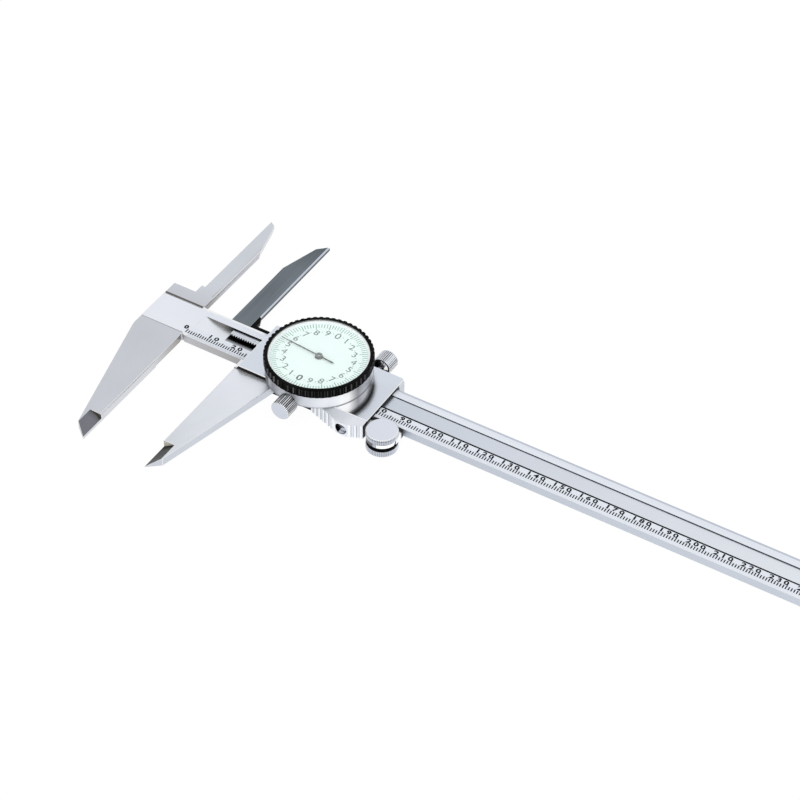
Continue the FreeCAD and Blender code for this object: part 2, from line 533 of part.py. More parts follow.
# ===========================================================================
# 5. Rotating bezel with the dial face, rim ring and crystal
# ===========================================================================
bz = body("bezel")
bz.Placement = FreeCAD.Placement(V(cx, cy, 0), FreeCAD.Rotation())
pad(bz, "grip", "XY_Plane", "dims.bezel_bottom", "dims.bezel_top - dims.bezel_bottom - 0.25",
    [ridged(int(D["bezel_grips"]), D["bezel_r"], D["bezel_r"] - 0.42, 0.46, 0.14), ("circle", 0, 0, 17.97)])
pad(bz, "shoulder", "XY_Plane", "dims.bezel_top - 0.25", 0.25, [("circle", 0, 0, D["bezel_r"] - 0.45), ("circle", 0, 0, D["bezel_window_r"])])
pad(bz, "foot", "XY_Plane", "dims.bezel_bottom", 0.35, [("circle", 0, 0, D["bezel_r"] - 0.08), ("circle", 0, 0, 17.97)])
pad(bz, "ledge", "XY_Plane", 7.55, 0.42, [("circle", 0, 0, 18.2), ("circle", 0, 0, 16.4)])
doc.recompute()
ch = bz.newObject("PartDesign::Chamfer", "rim_chamfer")
top_edges = []
for i, e in enumerate(bz.Shape.Edges, start=1):
    if hasattr(e.Curve, "Radius") and abs(e.Curve.Radius - (D["bezel_r"] - 0.45)) < 1e-4 and abs(e.CenterOfMass.z - D["bezel_top"]) < 1e-4:
        top_edges.append("Edge%d" % i)
ch.Base = (bz.Tip if bz.Tip != ch else bz.Group[-2], top_edges)
ch.Size = 0.15
doc.recompute()
face = cut(cyl("dims.face_r", 0.38, (0, 0, 7.97)), [cyl(1.5, 2.0, (0, 0, 7.5))], "dial_face")
face.Placement = FreeCAD.Placement(V(cx, cy, 0), FreeCAD.Rotation())
ring = cut(cyl(17.9, 0.95, (0, 0, 8.36)), [cyl(17.35, 2.0, (0, 0, 8.0))], "dial_rim_ring")
ring.Placement = FreeCAD.Placement(V(cx, cy, 0), FreeCAD.Rotation())
cr = cyl(17.9, 0.5, (0, 0, 9.33))
crystal = note(cr, "crystal")
crystal.Placement = FreeCAD.Placement(V(cx, cy, 9.33), FreeCAD.Rotation())
sp = cut(cyl(17.82, 0.35, (0, 0, 6.85)), [cyl(17.5, 1.0, (0, 0, 6.5)), box(16.0, -1.2, 6.6, 19.0, 1.2, 7.4)], "bezel_spring")
sp.Placement = FreeCAD.Placement(V(cx, cy, 0), FreeCAD.Rotation())

# ===========================================================================
# 6. Depth rod with its root and screws
# ===========================================================================
rod_end = D["beam_right"] + xo
rod = body("depth_rod")
pad(rod, "rod_lip_pad", "XY_Plane", "dims.rod_top - dims.rod_lip", "dims.rod_lip",
    [[(D["rod_left"], D["rod_low"]), (rod_end, D["rod_low"]), (rod_end, D["rod_high"]), (D["rod_left"], D["rod_high"])]])
pad(rod, "rod_leg", "XY_Plane", -1.95, 1.55,
    [[(D["rod_left"], D["rod_low"]), (rod_end, D["rod_low"]), (rod_end, 8.95), (D["rod_left"], 8.95)]])
pad(rod, "rod_root", "XY_Plane", -0.45, 0.52,
    [[(D["rod_left"], D["rod_low"]), (77.5, D["rod_low"]), (77.5, D["rod_high"]), (D["rod_left"], D["rod_high"])]])
pocket(rod, "rod_holes", "XY_Plane", -2.2, 3.0, [("circle", x, 7.5, 0.65) for x in ROD_SCREWS], True)
pocket(rod, "rod_heads", "XY_Plane", -2.2, 0.9, [("circle", x, 7.5, 1.1) for x in ROD_SCREWS], True)
pocket(rod, "rod_tip_notch", "XY_Plane", -2.5, 3.0,
       [[(rod_end - 1.2, D["rod_high"] + 0.2), (rod_end + 0.4, D["rod_high"] + 0.2), (rod_end + 0.4, 9.4), (rod_end - 1.2, 10.8)]], True)
rs = []
for x in ROD_SCREWS:
    s1 = fuse([cyl(0.63, 2.3, (x, 7.5, -1.4)), cyl(1.05, 0.5, (x, 7.5, -1.85))])
    rs.append(cut(s1, [box(x - 1.2, 7.5 - 0.12, -2.0, x + 1.2, 7.5 + 0.12, -1.6)]))
group(rs, "depth_rod_screws")

# ===========================================================================
# 7. Knurled screws
# ===========================================================================
def knob(n, r_out, length, back_recess, label, stem_r, stem_len, place_pos, axis):
    """Knurled head with chamfered ends on a plain stem; local +Z points outwards,
    the head starts at local 0 and the stem runs to negative local Z."""
    head = prism(ridged(n, r_out, r_out - 0.34, 0.42, 0.2), length, (0, 0, 0))
    limit = fuse([cyl(r_out + 0.5, length - 0.9, (0, 0, 0.45)), cone(r_out - 0.32, r_out + 0.13, 0.45, (0, 0, 0.0)),
                  cone(r_out + 0.13, r_out - 0.32, 0.45, (0, 0, length - 0.45))])
    com = doc.addObject("Part::Common", nm("common"))
    com.Base = head
    com.Tool = limit
    pieces = [com, cyl(stem_r, stem_len + length * 0.5, (0, 0, -stem_len))]
    if back_recess:
        hollow = cut(com, [cyl(r_out - 0.95, 1.1, (0, 0, -0.1))])
        pieces = [hollow, cyl(stem_r, stem_len + length * 0.5, (0, 0, -stem_len))]
    o = fuse(pieces, label)
    o.Placement = FreeCAD.Placement(V(*place_pos), AX[axis])
    return o


knob(34, D["knob_r"], 5.6, True, "slider_lock_screw", 1.05, 6.75, (D["lock_x"], 24.0, D["lock_z"]), "y")
knob(34, D["knob_r"] - 0.05, 6.1, False, "bezel_clamp_screw", 1.26, 2.4, (D["clamp_x"], -12.3, D["clamp_z"]), "-y")

# ===========================================================================
# 8. Thumb roller on its sprung bracket
# ===========================================================================
rx, ry = D["roller_x"], D["roller_y"]
rr = D["roller_r"]
lim = fuse([cyl(rr + 0.5, 1.63, (0, 0, 0.08)), cone(rr - 0.15, rr + 0.1, 0.25, (0, 0, -0.17)), cone(rr + 0.1, rr - 0.35, 0.45, (0, 0, 1.7))])
top_k = doc.addObject("Part::Common", nm("common"))
top_k.Base = prism(ridged(56, rr, rr - 0.22, 0.4, 0.2), D["roller_top"] + 0.17, (0, 0, -0.17))
top_k.Tool = lim
neck = cut(cyl(rr + 1.0, 0.2, (0, 0, 1.42)), [cyl(rr - 0.34, 1.0, (0, 0, 1.0))])
upper = fuse([cut(top_k, [neck]), cyl("dims.roller_core_r", 3.5, (0, 0, -3.48))])
roller = cut(upper, [cyl(0.62, 3.0, (0, 0, -3.7))], "thumb_roller")
roller.Placement = FreeCAD.Placement(V(rx, ry, 0), FreeCAD.Rotation())
lim2 = fuse([cyl(rr + 0.5, 1.7, (0, 0, -5.5)), cone(rr - 0.35, rr + 0.1, 0.3, (0, 0, -5.8)), cone(rr + 0.1, rr - 0.2, 0.3, (0, 0, -3.8))])
low_k = doc.addObject("Part::Common", nm("common"))
low_k.Base = prism(ridged(56, rr, rr - 0.22, 0.4, 0.2), 2.3, (0, 0, D["roller_bottom"]))
low_k.Tool = lim2
flange = cut(low_k, [cyl(0.62, 3.2, (0, 0, -6.2)), cyl(1.4, 0.75, (0, 0, -5.95))], "roller_flange")
flange.Placement = FreeCAD.Placement(V(rx, ry, 0), FreeCAD.Rotation())
rscrew = cut(fuse([cyl(0.6, 4.2, (0, 0, -5.3)), cyl(1.3, 0.4, (0, 0, -5.65))]), [box(-1.4, -0.14, -5.8, 1.4, 0.14, -5.45)], "roller_screw")
rscrew.Placement = FreeCAD.Placement(V(rx, ry, 0), FreeCAD.Rotation())

brk = body("roller_bracket")
br = rr - 0.12
pad(brk, "leaf", "XY_Plane", -1.65, 1.4,
    [[(69.0, -3.9), (80.9, -3.9), (rx + br * math.cos(math.radians(165)), ry + br * math.sin(math.radians(165))),
      (rx, ry - br, rx + br * math.cos(math.radians(-12)), ry + br * math.sin(math.radians(-12))), (92.4, -5.3), (92.4, -0.3), (80.9, -0.3), (80.9, -0.85), (69.0, -0.85)],
     ("circle", rx, ry, D["roller_core_r"] + 0.06)])
pad(brk, "ear", "XY_Plane", -3.0, 2.6,
    [[(92.0, -5.3), (92.65, -5.3), (92.65, -0.6), (92.0, -0.6)]])
bsw = cut(fuse([cyl(2.05, 3.05, (72.7, -7.85, -2.35), "y"), cyl(1.2, 0.95, (72.7, -4.85, -2.35), "y")]),
          [prism([(0.95 * math.cos(math.radians(60 * k)), 0.95 * math.sin(math.radians(60 * k))) for k in range(6)], 1.6, (72.7, -8.0, -2.35), "y")],
          "bracket_screw")

# ===========================================================================
# Final placing, checks, then one file for each piece
# ===========================================================================
doc.recompute()
shift_y = FreeCAD.Placement(V(0, -D["origin_y"], 0), FreeCAD.Rotation())
for lab, o in PARTS:
    o.Placement = shift_y.multiply(o.Placement)
doc.recompute()
bad = []
for o in doc.Objects:
    st = [s for s in o.State if s in ("Invalid", "Error")]
    if st:
        bad.append((o.Name, o.Label, st))
if bad:
    raise RuntimeError("failed objects: %s" % bad)
labels = [lab for lab, _ in PARTS]
if len(set(labels)) != len(labels):
    raise RuntimeError("duplicate labels")
for lab, o in PARTS:
    sh = o.Shape
    if sh.isNull() or not sh.isValid() or not sh.Solids:
        raise RuntimeError("bad shape: " + lab)
os.makedirs("parts", exist_ok=True)
for lab, o in PARTS:
    bb = o.Shape.BoundBox
    print("%-20s solids %2d faces %5d vol %10.3f  x %8.2f..%8.2f y %7.2f..%7.2f z %6.2f..%6.2f" % (
        lab, len(o.Shape.Solids), len(o.Shape.Faces), o.Shape.Volume, bb.XMin, bb.XMax, bb.YMin, bb.YMax, bb.ZMin, bb.ZMax))
    o.Shape.exportStep("parts/%s.step" % lab)
print("pieces", len(PARTS))
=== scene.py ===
import math

import bmesh
import bpy
from mathutils import Matrix, Vector


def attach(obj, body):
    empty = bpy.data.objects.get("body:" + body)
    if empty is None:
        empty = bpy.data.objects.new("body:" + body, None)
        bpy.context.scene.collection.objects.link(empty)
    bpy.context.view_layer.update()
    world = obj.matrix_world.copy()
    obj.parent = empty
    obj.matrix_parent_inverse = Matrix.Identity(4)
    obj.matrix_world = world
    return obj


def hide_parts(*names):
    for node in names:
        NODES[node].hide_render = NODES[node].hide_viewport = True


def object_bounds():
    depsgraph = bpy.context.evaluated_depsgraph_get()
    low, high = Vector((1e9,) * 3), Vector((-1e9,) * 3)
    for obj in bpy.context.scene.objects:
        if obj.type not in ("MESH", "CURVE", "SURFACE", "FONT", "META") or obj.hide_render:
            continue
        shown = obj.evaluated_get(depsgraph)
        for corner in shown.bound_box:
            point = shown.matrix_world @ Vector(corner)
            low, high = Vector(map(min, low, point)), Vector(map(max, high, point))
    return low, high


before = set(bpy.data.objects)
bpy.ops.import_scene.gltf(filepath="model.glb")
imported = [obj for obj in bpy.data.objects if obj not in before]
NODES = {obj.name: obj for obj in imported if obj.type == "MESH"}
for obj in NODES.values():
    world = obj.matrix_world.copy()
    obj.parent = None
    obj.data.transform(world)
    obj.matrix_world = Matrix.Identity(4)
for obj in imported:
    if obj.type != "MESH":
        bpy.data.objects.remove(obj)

MM = 0.001
LO0, HI0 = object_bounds()
SCENE = bpy.context.scene
COLL = SCENE.collection

# the millimetre scale starts at X = 0.5 mm; heights over the beam's lower edge are given less 8.1 mm
SX0 = 0.5
SY0 = -8.1
DIAL = (53.0, -0.1)


# ---------------------------------------------------------------------------
# Materials
# ---------------------------------------------------------------------------
class Mat:
    """A node tree with a Principled shader and a few shorthand calls."""

    def __init__(self, name):
        self.m = bpy.data.materials.new(name)
        self.m.use_nodes = True
        self.t = self.m.node_tree
        self.t.nodes.clear()
        self.out = self.t.nodes.new("ShaderNodeOutputMaterial")
        self.p = self.t.nodes.new("ShaderNodeBsdfPrincipled")
        self.t.links.new(self.p.outputs[0], self.out.inputs[0])
        self._obj = None

    def set(self, **kw):
        for k, v in kw.items():
            self.p.inputs[k.replace("_", " ")].default_value = v
        return self

    def node(self, kind, **props):
        n = self.t.nodes.new(kind)
        for k, v in props.items():
            setattr(n, k, v)
        return n

    def link(self, a, b):
        self.t.links.new(a, b)

    def coords(self, scale=(1, 1, 1), rot=(0, 0, 0), loc=(0, 0, 0)):
        """Object coordinates in metres, turned, then stretched."""
        if self._obj is None:
            self._obj = self.node("ShaderNodeTexCoord")
        turn = self.node("ShaderNodeMapping")
        turn.inputs["Rotation"].default_value = rot
        turn.inputs["Location"].default_value = loc
        self.link(self._obj.outputs["Object"], turn.inputs["Vector"])
        mp = self.node("ShaderNodeMapping")
        mp.inputs["Scale"].default_value = scale
        self.link(turn.outputs[0], mp.inputs["Vector"])
        return mp.outputs[0]

    def noise(self, vec, scale=1.0, detail=2.0, rough=0.5, distort=0.0):
        n = self.node("ShaderNodeTexNoise")
        n.inputs["Scale"].default_value = scale
        n.inputs["Detail"].default_value = detail
        n.inputs["Roughness"].default_value = rough
        n.inputs["Distortion"].default_value = distort
        self.link(vec, n.inputs["Vector"])
        return n.outputs["Fac"]

    def ramp(self, fac, stops):
        n = self.node("ShaderNodeValToRGB")
        e = n.color_ramp.elements
        while len(e) < len(stops):
            e.new(0.5)
        for el, (pos, col) in zip(e, stops):
            el.position = pos
            el.color = (*col, 1) if len(col) == 3 else col
        self.link(fac, n.inputs[0])
        return n.outputs["Color"]

    def span(self, fac, a, b, lo=0.3, hi=0.7):
        n = self.node("ShaderNodeMapRange")
        n.inputs["From Min"].default_value = lo
        n.inputs["From Max"].default_value = hi
        n.inputs["To Min"].default_value = a
        n.inputs["To Max"].default_value = b
        self.link(fac, n.inputs["Value"])
        return n.outputs["Result"]

    def math(self, op, a, b):
        n = self.node("ShaderNodeMath", operation=op)
        for i, v in enumerate((a, b)):
            if isinstance(v, (int, float)):
                n.inputs[i].default_value = v
            else:
                self.link(v, n.inputs[i])
        return n.outputs[0]

    def mix(self, fac, a, b, mode="MIX"):
        n = self.node("ShaderNodeMix", data_type="RGBA", blend_type=mode)
        for sock, v in ((n.inputs[0], fac), (n.inputs[6], a), (n.inputs[7], b)):
            if isinstance(v, (int, float)):
                sock.default_value = v
            elif isinstance(v, (tuple, list)):
                sock.default_value = (*v, 1) if len(v) == 3 else v
            else:
                self.link(v, sock)
        return n.outputs[2]

    def bump(self, height, strength, dist):
        n = self.node("ShaderNodeBump")
        n.inputs["Strength"].default_value = strength
        n.inputs["Distance"].default_value = dist
        self.link(height, n.inputs["Height"])
        self.link(n.outputs[0], self.p.inputs["Normal"])
        return self


def tone(r, g, b, light=0.92):
    """Base colour of a metal that should read as this display colour under this much light."""
    out = []
    for v in (r, g, b):
        v /= 255.0
        lin = v / 12.92 if v <= 0.04045 else ((v + 0.055) / 1.055) ** 2.4
        out.append(min(1.0, lin / light))
    return tuple(out)


def scaled(col, k):
    return tuple(min(1.0, c * k) for c in col)


def faded(k, base, both, spread, fade):
    """The base colour moved over to other colours along an axis; fade is (axis, (mm, colour), (mm, colour), ...)."""
    axis, stops = fade[0], fade[1:]
    if isinstance(stops[0], (int, float)):
        stops = ((stops[0], None), (stops[1], stops[2]))
    sep = k.node("ShaderNodeSeparateXYZ")
    k.link(k._obj.outputs["Object"], sep.inputs[0])
    for (p0, c0), (p1, c1) in zip(stops[:-1], stops[1:]):
        f = k.span(sep.outputs[axis], 0.0, 1.0, p0 * MM, p1 * MM)
        base = k.mix(f, base, k.ramp(both, [(0.32, scaled(c1, 1 - spread)), (0.68, scaled(c1, 1 + spread))]))
    return base


def brushed(name, col, spread=0.04, rough=(0.25, 0.34), lines=(40, 2600, 2600), turn=0.0, depth=0.00001, metallic=1.0, cloud=0.5, fade=None):
    """Ground or brushed metal: fine streaks along one direction over soft clouds.
    fade moves the colour over to others along an axis."""
    k = Mat(name)
    k.set(Metallic=metallic)
    streak = k.noise(k.coords(lines, (0, 0, turn)), 1.0, 3.0, 0.65)
    soft = k.noise(k.coords((55, 55, 55), loc=(0.13, 0.02, 0)), 1.0, 2.0, 0.5)
    both = k.math("ADD", k.math("MULTIPLY", streak, 1 - cloud), k.math("MULTIPLY", soft, cloud))
    base = k.ramp(both, [(0.32, scaled(col, 1 - spread)), (0.68, scaled(col, 1 + spread))])
    if fade:
        base = faded(k, base, both, spread, fade)
    k.link(base, k.p.inputs["Base Color"])
    k.link(k.span(streak, rough[0], rough[1]), k.p.inputs["Roughness"])
    if depth:
        k.bump(streak, 0.3, depth)
    return k.m


def satin(name, col, spread=0.025, rough=(0.24, 0.32), size=260.0, metallic=1.0, fade=None):
    """Even satin metal: only soft clouds, no streaks."""
    k = Mat(name)
    k.set(Metallic=metallic)
    n = k.noise(k.coords((size, size, size)), 1.0, 2.0, 0.5)
    f2 = k.noise(k.coords((5200, 5200, 5200)), 1.0, 2.0, 0.5)
    base = k.ramp(n, [(0.3, scaled(col, 1 - spread)), (0.7, scaled(col, 1 + spread))])
    if fade:
        base = faded(k, base, n, spread, fade)
    k.link(base, k.p.inputs["Base Color"])
    k.link(k.span(f2, rough[0], rough[1]), k.p.inputs["Roughness"])
    return k.m


M_JAW = brushed("jaw_ground", tone(200, 202, 208), 0.035, (0.30, 0.38), (60, 2400, 2400), math.radians(62), cloud=0.6)
M_JAW2 = brushed("moving_jaw_ground", tone(212, 215, 220), 0.03, (0.30, 0.38), (60, 2400, 2400), math.radians(-62), cloud=0.6, metallic=0.75, fade=("Y", -52, -20, tone(228, 230, 236)))
M_INFIX = brushed("inside_jaw_ground", tone(96, 92, 88), 0.03, (0.30, 0.38), (2400, 60, 2400), 0.0, 0.000004, cloud=0.6, fade=("Y", (8.15, None), (8.45, tone(200, 201, 207)), (18, tone(206, 209, 215))))
M_BLOCK = brushed("block_ground", tone(231, 233, 239), 0.03, (0.28, 0.36), (50, 2400, 2400), 0.0, cloud=0.7)
M_SCALE = brushed("scale_satin", tone(218, 222, 229), 0.02, (0.50, 0.58), (60, 2600, 2600), 0.0, 0.000006, 0.35, 0.6)
M_LAND = brushed("land_ground", tone(243, 245, 248), 0.02, (0.24, 0.32), (25, 3000, 3000), 0.0)
# Painted reflection: the upper bevel is near white left of X 24 mm and grey right of X 26 mm.
M_BEVEL = brushed("upper_bevel_ground", tone(196, 201, 211), 0.03, (0.24, 0.32), (25, 3000, 3000), 0.0, fade=("X", 26, 24, tone(246, 247, 249)))
M_SIDE = brushed("side_ground", tone(184, 184, 188, 0.97), 0.04, (0.30, 0.38), (25, 3000, 3000), 0.0, metallic=0.75, fade=("X", (3, None), (24, tone(160, 159, 160, 0.97)), (60, tone(186, 192, 202, 0.97)), (230, tone(194, 200, 210, 0.97))))
M_SIDE_R = brushed("side_ground_free", tone(205, 209, 217, 1.0), 0.04, (0.30, 0.38), (25, 3000, 3000), 0.0)
M_MEASURE = satin("measuring_lapped", tone(211, 213, 218, 1.0), 0.015, (0.24, 0.32), fade=("Y", -28, -9, tone(150, 146, 142, 1.0)))
M_INEDGE = satin("inside_edge_lapped", tone(206, 207, 211), 0.012, (0.24, 0.32), fade=("Y", 22, 8, tone(170, 167, 164)))
# Painted highlight: the chamfers take a near-white copy of the steel.
M_EDGE = satin("edge_chamfer", tone(254, 254, 255, 0.95), 0.006, (0.24, 0.30))
# Painted dark reflection on the fixed jaw's nib bevel, darkest towards the step at Y -56.6 mm.
M_NIB = brushed("nib_ground", tone(116, 118, 124), 0.07, (0.26, 0.34), (1800, 300, 1800), 0.5, fade=("Y", (-59.5, None), (-57.6, tone(100, 101, 104)), (-56.6, tone(62, 61, 58))))
M_NIB_WALL = satin("nib_step", tone(176, 170, 160), 0.06, (0.24, 0.34))
M_INJAW = brushed("inside_face_ground", tone(111, 118, 124), 0.26, (0.28, 0.36), (3600, 24, 3600), 0.0, cloud=0.15, fade=("Y", 46, 60, tone(95, 103, 108)))
M_DARK = satin("shaded_steel", tone(12, 13, 15), 0.1, (0.35, 0.45))
# Painted shade on the front wall of the cover and frame step, darkening to near black from X 26.5 to 34 mm.
M_STEP_SHADE = satin("shaded_step", tone(52, 48, 43), 0.06, (0.34, 0.44), fade=("X", (26.5, None), (34, tone(20, 17, 14))))
# Painted shade: the groove floor darkens to near black towards the rack, above Y 0.4 mm.
M_GROOVE = brushed("groove_floor", tone(206, 209, 215), 0.05, (0.34, 0.42), (30, 2600, 2600), 0.0, fade=("Y", (-2.6, None), (-0.7, tone(160, 162, 166)), (0.4, tone(14, 14, 15))))
# Painted contact shade: the groove wall is near black from X 14 to 80 mm and grey elsewhere.
M_GROOVE_WALL = satin("groove_wall", tone(140, 137, 134), 0.05, (0.3, 0.4), fade=("X", (9, None), (14, tone(20, 20, 21)), (80, tone(20, 20, 21)), (81, tone(120, 122, 127))))
M_ROD = brushed("rod_ground", tone(203, 208, 217), 0.03, (0.26, 0.34), (20, 3000, 3000), 0.0, fade=("X", 90, 230, tone(223, 226, 232)))
# Painted shade: the depth rod's side walls take a dark grey.
M_RODWALL = satin("rod_wall", tone(60, 61, 64), 0.05, (0.3, 0.4))
M_COVER = brushed("cover_chrome", tone(213, 218, 226, 0.92), 0.015, (0.20, 0.24), (40, 2600, 2600), 0.0, 0.000003, cloud=0.8)


def cover_crescent(m):
    """Soft light and dark bands painted into the polished cover's colour on one side of the housing's foot: a painted
    reflection, bright next to the foot with a dark crescent beyond it.
    """
    k = Mat.__new__(Mat)
    k.m, k.t = m, m.node_tree
    k.p = next(n for n in k.t.nodes if n.type == "BSDF_PRINCIPLED")
    k._obj = next(n for n in k.t.nodes if n.type == "TEX_COORD")
    sep = k.node("ShaderNodeSeparateXYZ")
    k.link(k._obj.outputs["Object"], sep.inputs[0])
    dx = k.math("SUBTRACT", sep.outputs["X"], DIAL[0] * MM)
    dy = k.math("SUBTRACT", sep.outputs["Y"], DIAL[1] * MM)
    r = k.math("SQRT", k.math("ADD", k.math("MULTIPLY", dx, dx), k.math("MULTIPLY", dy, dy)), 0.0)
    side = k.math("DIVIDE", k.math("SUBTRACT", k.math("MULTIPLY", dx, 0.978), k.math("MULTIPLY", dy, 0.208)), r)
    side = k.span(side, 0.0, 1.0, 0.86, 0.92)
    r = k.math("ADD", r, k.math("MULTIPLY", k.math("DIVIDE", dy, r), 6.9 * MM))
    base = k.p.inputs["Base Color"].links[0].from_socket
    # White next to the foot, near black in the middle, grey beyond: the painted reflection bands.
    lit = k.ramp(k.span(r, 0.0, 1.0, 17.2 * MM, 23.4 * MM), [(0.0, (1.0, 1.0, 1.0)), (0.38, (1.0, 1.0, 1.0)), (0.56, (0.38, 0.38, 0.40)), (0.70, (0.09, 0.085, 0.085)), (0.86, (0.50, 0.52, 0.56)), (1.0, (0.70, 0.735, 0.805))])
    k.link(k.mix(side, base, lit), k.p.inputs["Base Color"])
    return m


cover_crescent(M_COVER)
M_LUG = satin("lug_satin", tone(186, 189, 195, 1.15), 0.015, (0.42, 0.5), metallic=0.25, fade=("X", (62, None), (69, tone(222, 225, 231, 1.15)), (76, tone(238, 240, 246, 1.15))))
# Lit and shaded copies of the lug's satin steel: crests painted brightest, flute floors lighter, flanks darker as
# painted shade; the flank copy also shades the bracket's front faces.
M_RIB = satin("lug_rib", tone(242, 244, 249, 1.04), 0.01, (0.3, 0.36), metallic=0.3)
M_FLUTE = satin("lug_flute", tone(222, 226, 234, 1.04), 0.02, (0.3, 0.36), metallic=0.3)
M_FLANK = satin("lug_flank", tone(170, 174, 182, 1.04), 0.03, (0.3, 0.36), metallic=0.3)
# Painted light and shade along X: painted shade at the left, a near-white painted highlight from X 69 to 70.2 mm,
# darker again at the right edge.
M_HOUSING = satin("housing_turned", tone(80, 82, 86, 1.15), 0.012, (0.30, 0.36), 120.0, metallic=0.15, fade=("X", (37, None), (41, tone(86, 88, 92, 1.15)), (42.5, tone(184, 187, 193, 1.15)), (44.5, tone(128, 130, 135, 1.15)), (48.5, tone(192, 195, 202, 1.15)), (60, tone(216, 220, 228, 1.15)), (66, tone(238, 240, 245, 1.1)), (69, (1.0, 1.0, 1.0)), (70.2, (1.0, 1.0, 1.0)), (71.5, tone(150, 152, 157, 1.1)), (71.9, tone(196, 199, 205, 1.1))))
M_KNOB = satin("knob_satin", tone(206, 210, 218, 0.95), 0.03, (0.24, 0.32))
M_KNOB_LIT = satin("knob_crest", tone(246, 247, 250, 0.95), 0.02, (0.22, 0.30), metallic=0.6)
M_KNOB_SHADE = satin("knob_flank", tone(30, 30, 33, 0.95), 0.08, (0.28, 0.36))
M_KNOB_DEEP = satin("knob_groove", tone(70, 71, 75, 0.95), 0.08, (0.28, 0.36))
M_KNOB_END = satin("knob_end_satin", tone(203, 208, 218, 0.95), 0.02, (0.34, 0.42))
M_ROLLER = satin("roller_satin", tone(219, 223, 232), 0.012, (0.30, 0.38), 140.0)
# Painted highlight: the roller's rim chamfers take a near-white copy of its steel.
M_ROLLER_RIM = satin("roller_rim", tone(247, 248, 250), 0.01, (0.26, 0.34))
M_KNURL = satin("roller_knurl", tone(216, 220, 229, 1.0), 0.04, (0.26, 0.34))
# The darker knurl copy is painted shade for grooves and left flanks.
M_KNURL_LOW = satin("roller_knurl_groove", tone(174, 178, 188, 1.0), 0.04, (0.28, 0.36))
# Painted shade: a dark copy for the roller's undersides, stem and small groove and the bracket's underside.
M_UNDER = satin("roller_inner", tone(96, 96, 98), 0.08, (0.30, 0.40), fade=("X", (84, None), (92, tone(120, 121, 124))))
# Painted shade: the bracket leaf turns near black from Y -10.4 to -9.6 mm, next to the beam.
M_LEAF = satin("bracket_leaf", tone(246, 247, 250), 0.01, (0.24, 0.32), metallic=0.5, fade=("Y", (-10.4, None), (-9.6, tone(24, 24, 26))))
M_RACK = brushed("rack_steel", tone(206, 210, 217), 0.03, (0.26, 0.34), (40, 2400, 2400), 0.0)
M_STEEL = satin("bright_steel", tone(214, 217, 223), 0.03, (0.22, 0.30))
M_BACK = brushed("back_ground", tone(205, 208, 214), 0.04, (0.30, 0.38), (40, 2400, 2400), 0.0)
# Grey for the ring at the housing's foot: the joint line with painted contact shade.
M_SEAM_SHADE = satin("foot_seam_shade", tone(158, 160, 165), 0.05, (0.34, 0.42), metallic=0.3)
# Painted dark reflection on the moving jaw's nib bevel, near black towards the step.
M_NIB2 = brushed("moving_nib_ground", tone(84, 85, 84), 0.07, (0.26, 0.34), (1800, 300, 1800), 0.5, fade=("Y", (-58.6, None), (-57.2, tone(56, 56, 52)), (-55.8, tone(20, 19, 17))))
M_RUNOUT = satin("runout_ground", tone(234, 237, 242, 0.97), 0.01, (0.34, 0.42))
M_INWALL = satin("inside_jaw_back", tone(80, 88, 93), 0.04, (0.30, 0.38))
# Painted shade: the rack's tooth faces are near black below Z -1.3 mm and light above.
M_RACKFACE = satin("rack_tooth_face", tone(14, 14, 16), 0.1, (0.34, 0.44), fade=("Z", (-1.3, None), (-1.05, tone(176, 179, 186))))
# Painted shade: the end walls are near black below Y 8.3 mm and light above 8.8 mm.
M_END = satin("slider_end_wall", tone(12, 13, 15), 0.1, (0.34, 0.44), fade=("Y", (8.3, None), (8.8, tone(198, 202, 209))))


def knob_skin(name, dark, light, low, high, rough):
    """Ridges of a grip: fine bright and dark streaks that run along the axis, a painted reflection on the ridges."""
    k = Mat(name)
    k.set(Metallic=0.85)
    n = k.noise(k.coords((900, 14, 900)), 1.0, 2.0, 0.6)
    f = k.noise(k.coords((5200, 5200, 5200)), 1.0, 2.0, 0.5)
    k.link(k.ramp(n, [(low, dark), (high, light)]), k.p.inputs["Base Color"])
    k.link(k.span(f, rough[0], rough[1]), k.p.inputs["Roughness"])
    return k.m


# Ridge copies carry painted reflection streaks; the darker groove copies, also used on the flanks, are painted shade.
M_GRIP = knob_skin("grip_ridge", tone(150, 153, 160), tone(253, 253, 255), 0.40, 0.56, (0.22, 0.30))
M_GRIP_LOW = knob_skin("grip_groove", tone(34, 34, 37), tone(176, 180, 188), 0.42, 0.62, (0.30, 0.38))
M_GRIP2 = knob_skin("lock_grip_ridge", tone(206, 209, 215), tone(254, 254, 255), 0.38, 0.52, (0.22, 0.30))
M_GRIP2_LOW = knob_skin("lock_grip_groove", tone(124, 128, 136), tone(222, 226, 233), 0.40, 0.60, (0.30, 0.38))


def brass():
    k = Mat("turned_brass")
    k.set(Metallic=1.0)
    n = k.noise(k.coords((900, 900, 900)), 1.0, 3.0, 0.6)
    k.link(k.ramp(n, [(0.3, (0.62, 0.44, 0.17)), (0.7, (0.78, 0.60, 0.28))]), k.p.inputs["Base Color"])
    k.link(k.span(n, 0.22, 0.34), k.p.inputs["Roughness"])
    return k.m


def black_ring(name, low, high, streak=False):
    k = Mat(name)
    n = k.noise(k.coords((1400, 1400, 1400)), 1.0, 4.0, 0.6)
    c = k.noise(k.coords((210, 210, 12) if streak else (120, 120, 120)), 1.0, 2.0, 0.5)
    k.link(k.ramp(c, [(0.36, (low, low, low * 1.04)), (0.64, (high, high, high * 1.03))]), k.p.inputs["Base Color"])
    k.link(k.span(n, 0.26, 0.38), k.p.inputs["Roughness"])
    k.set(Specular_IOR_Level=0.012)
    k.bump(n, 0.15, 0.000006)
    return k.m


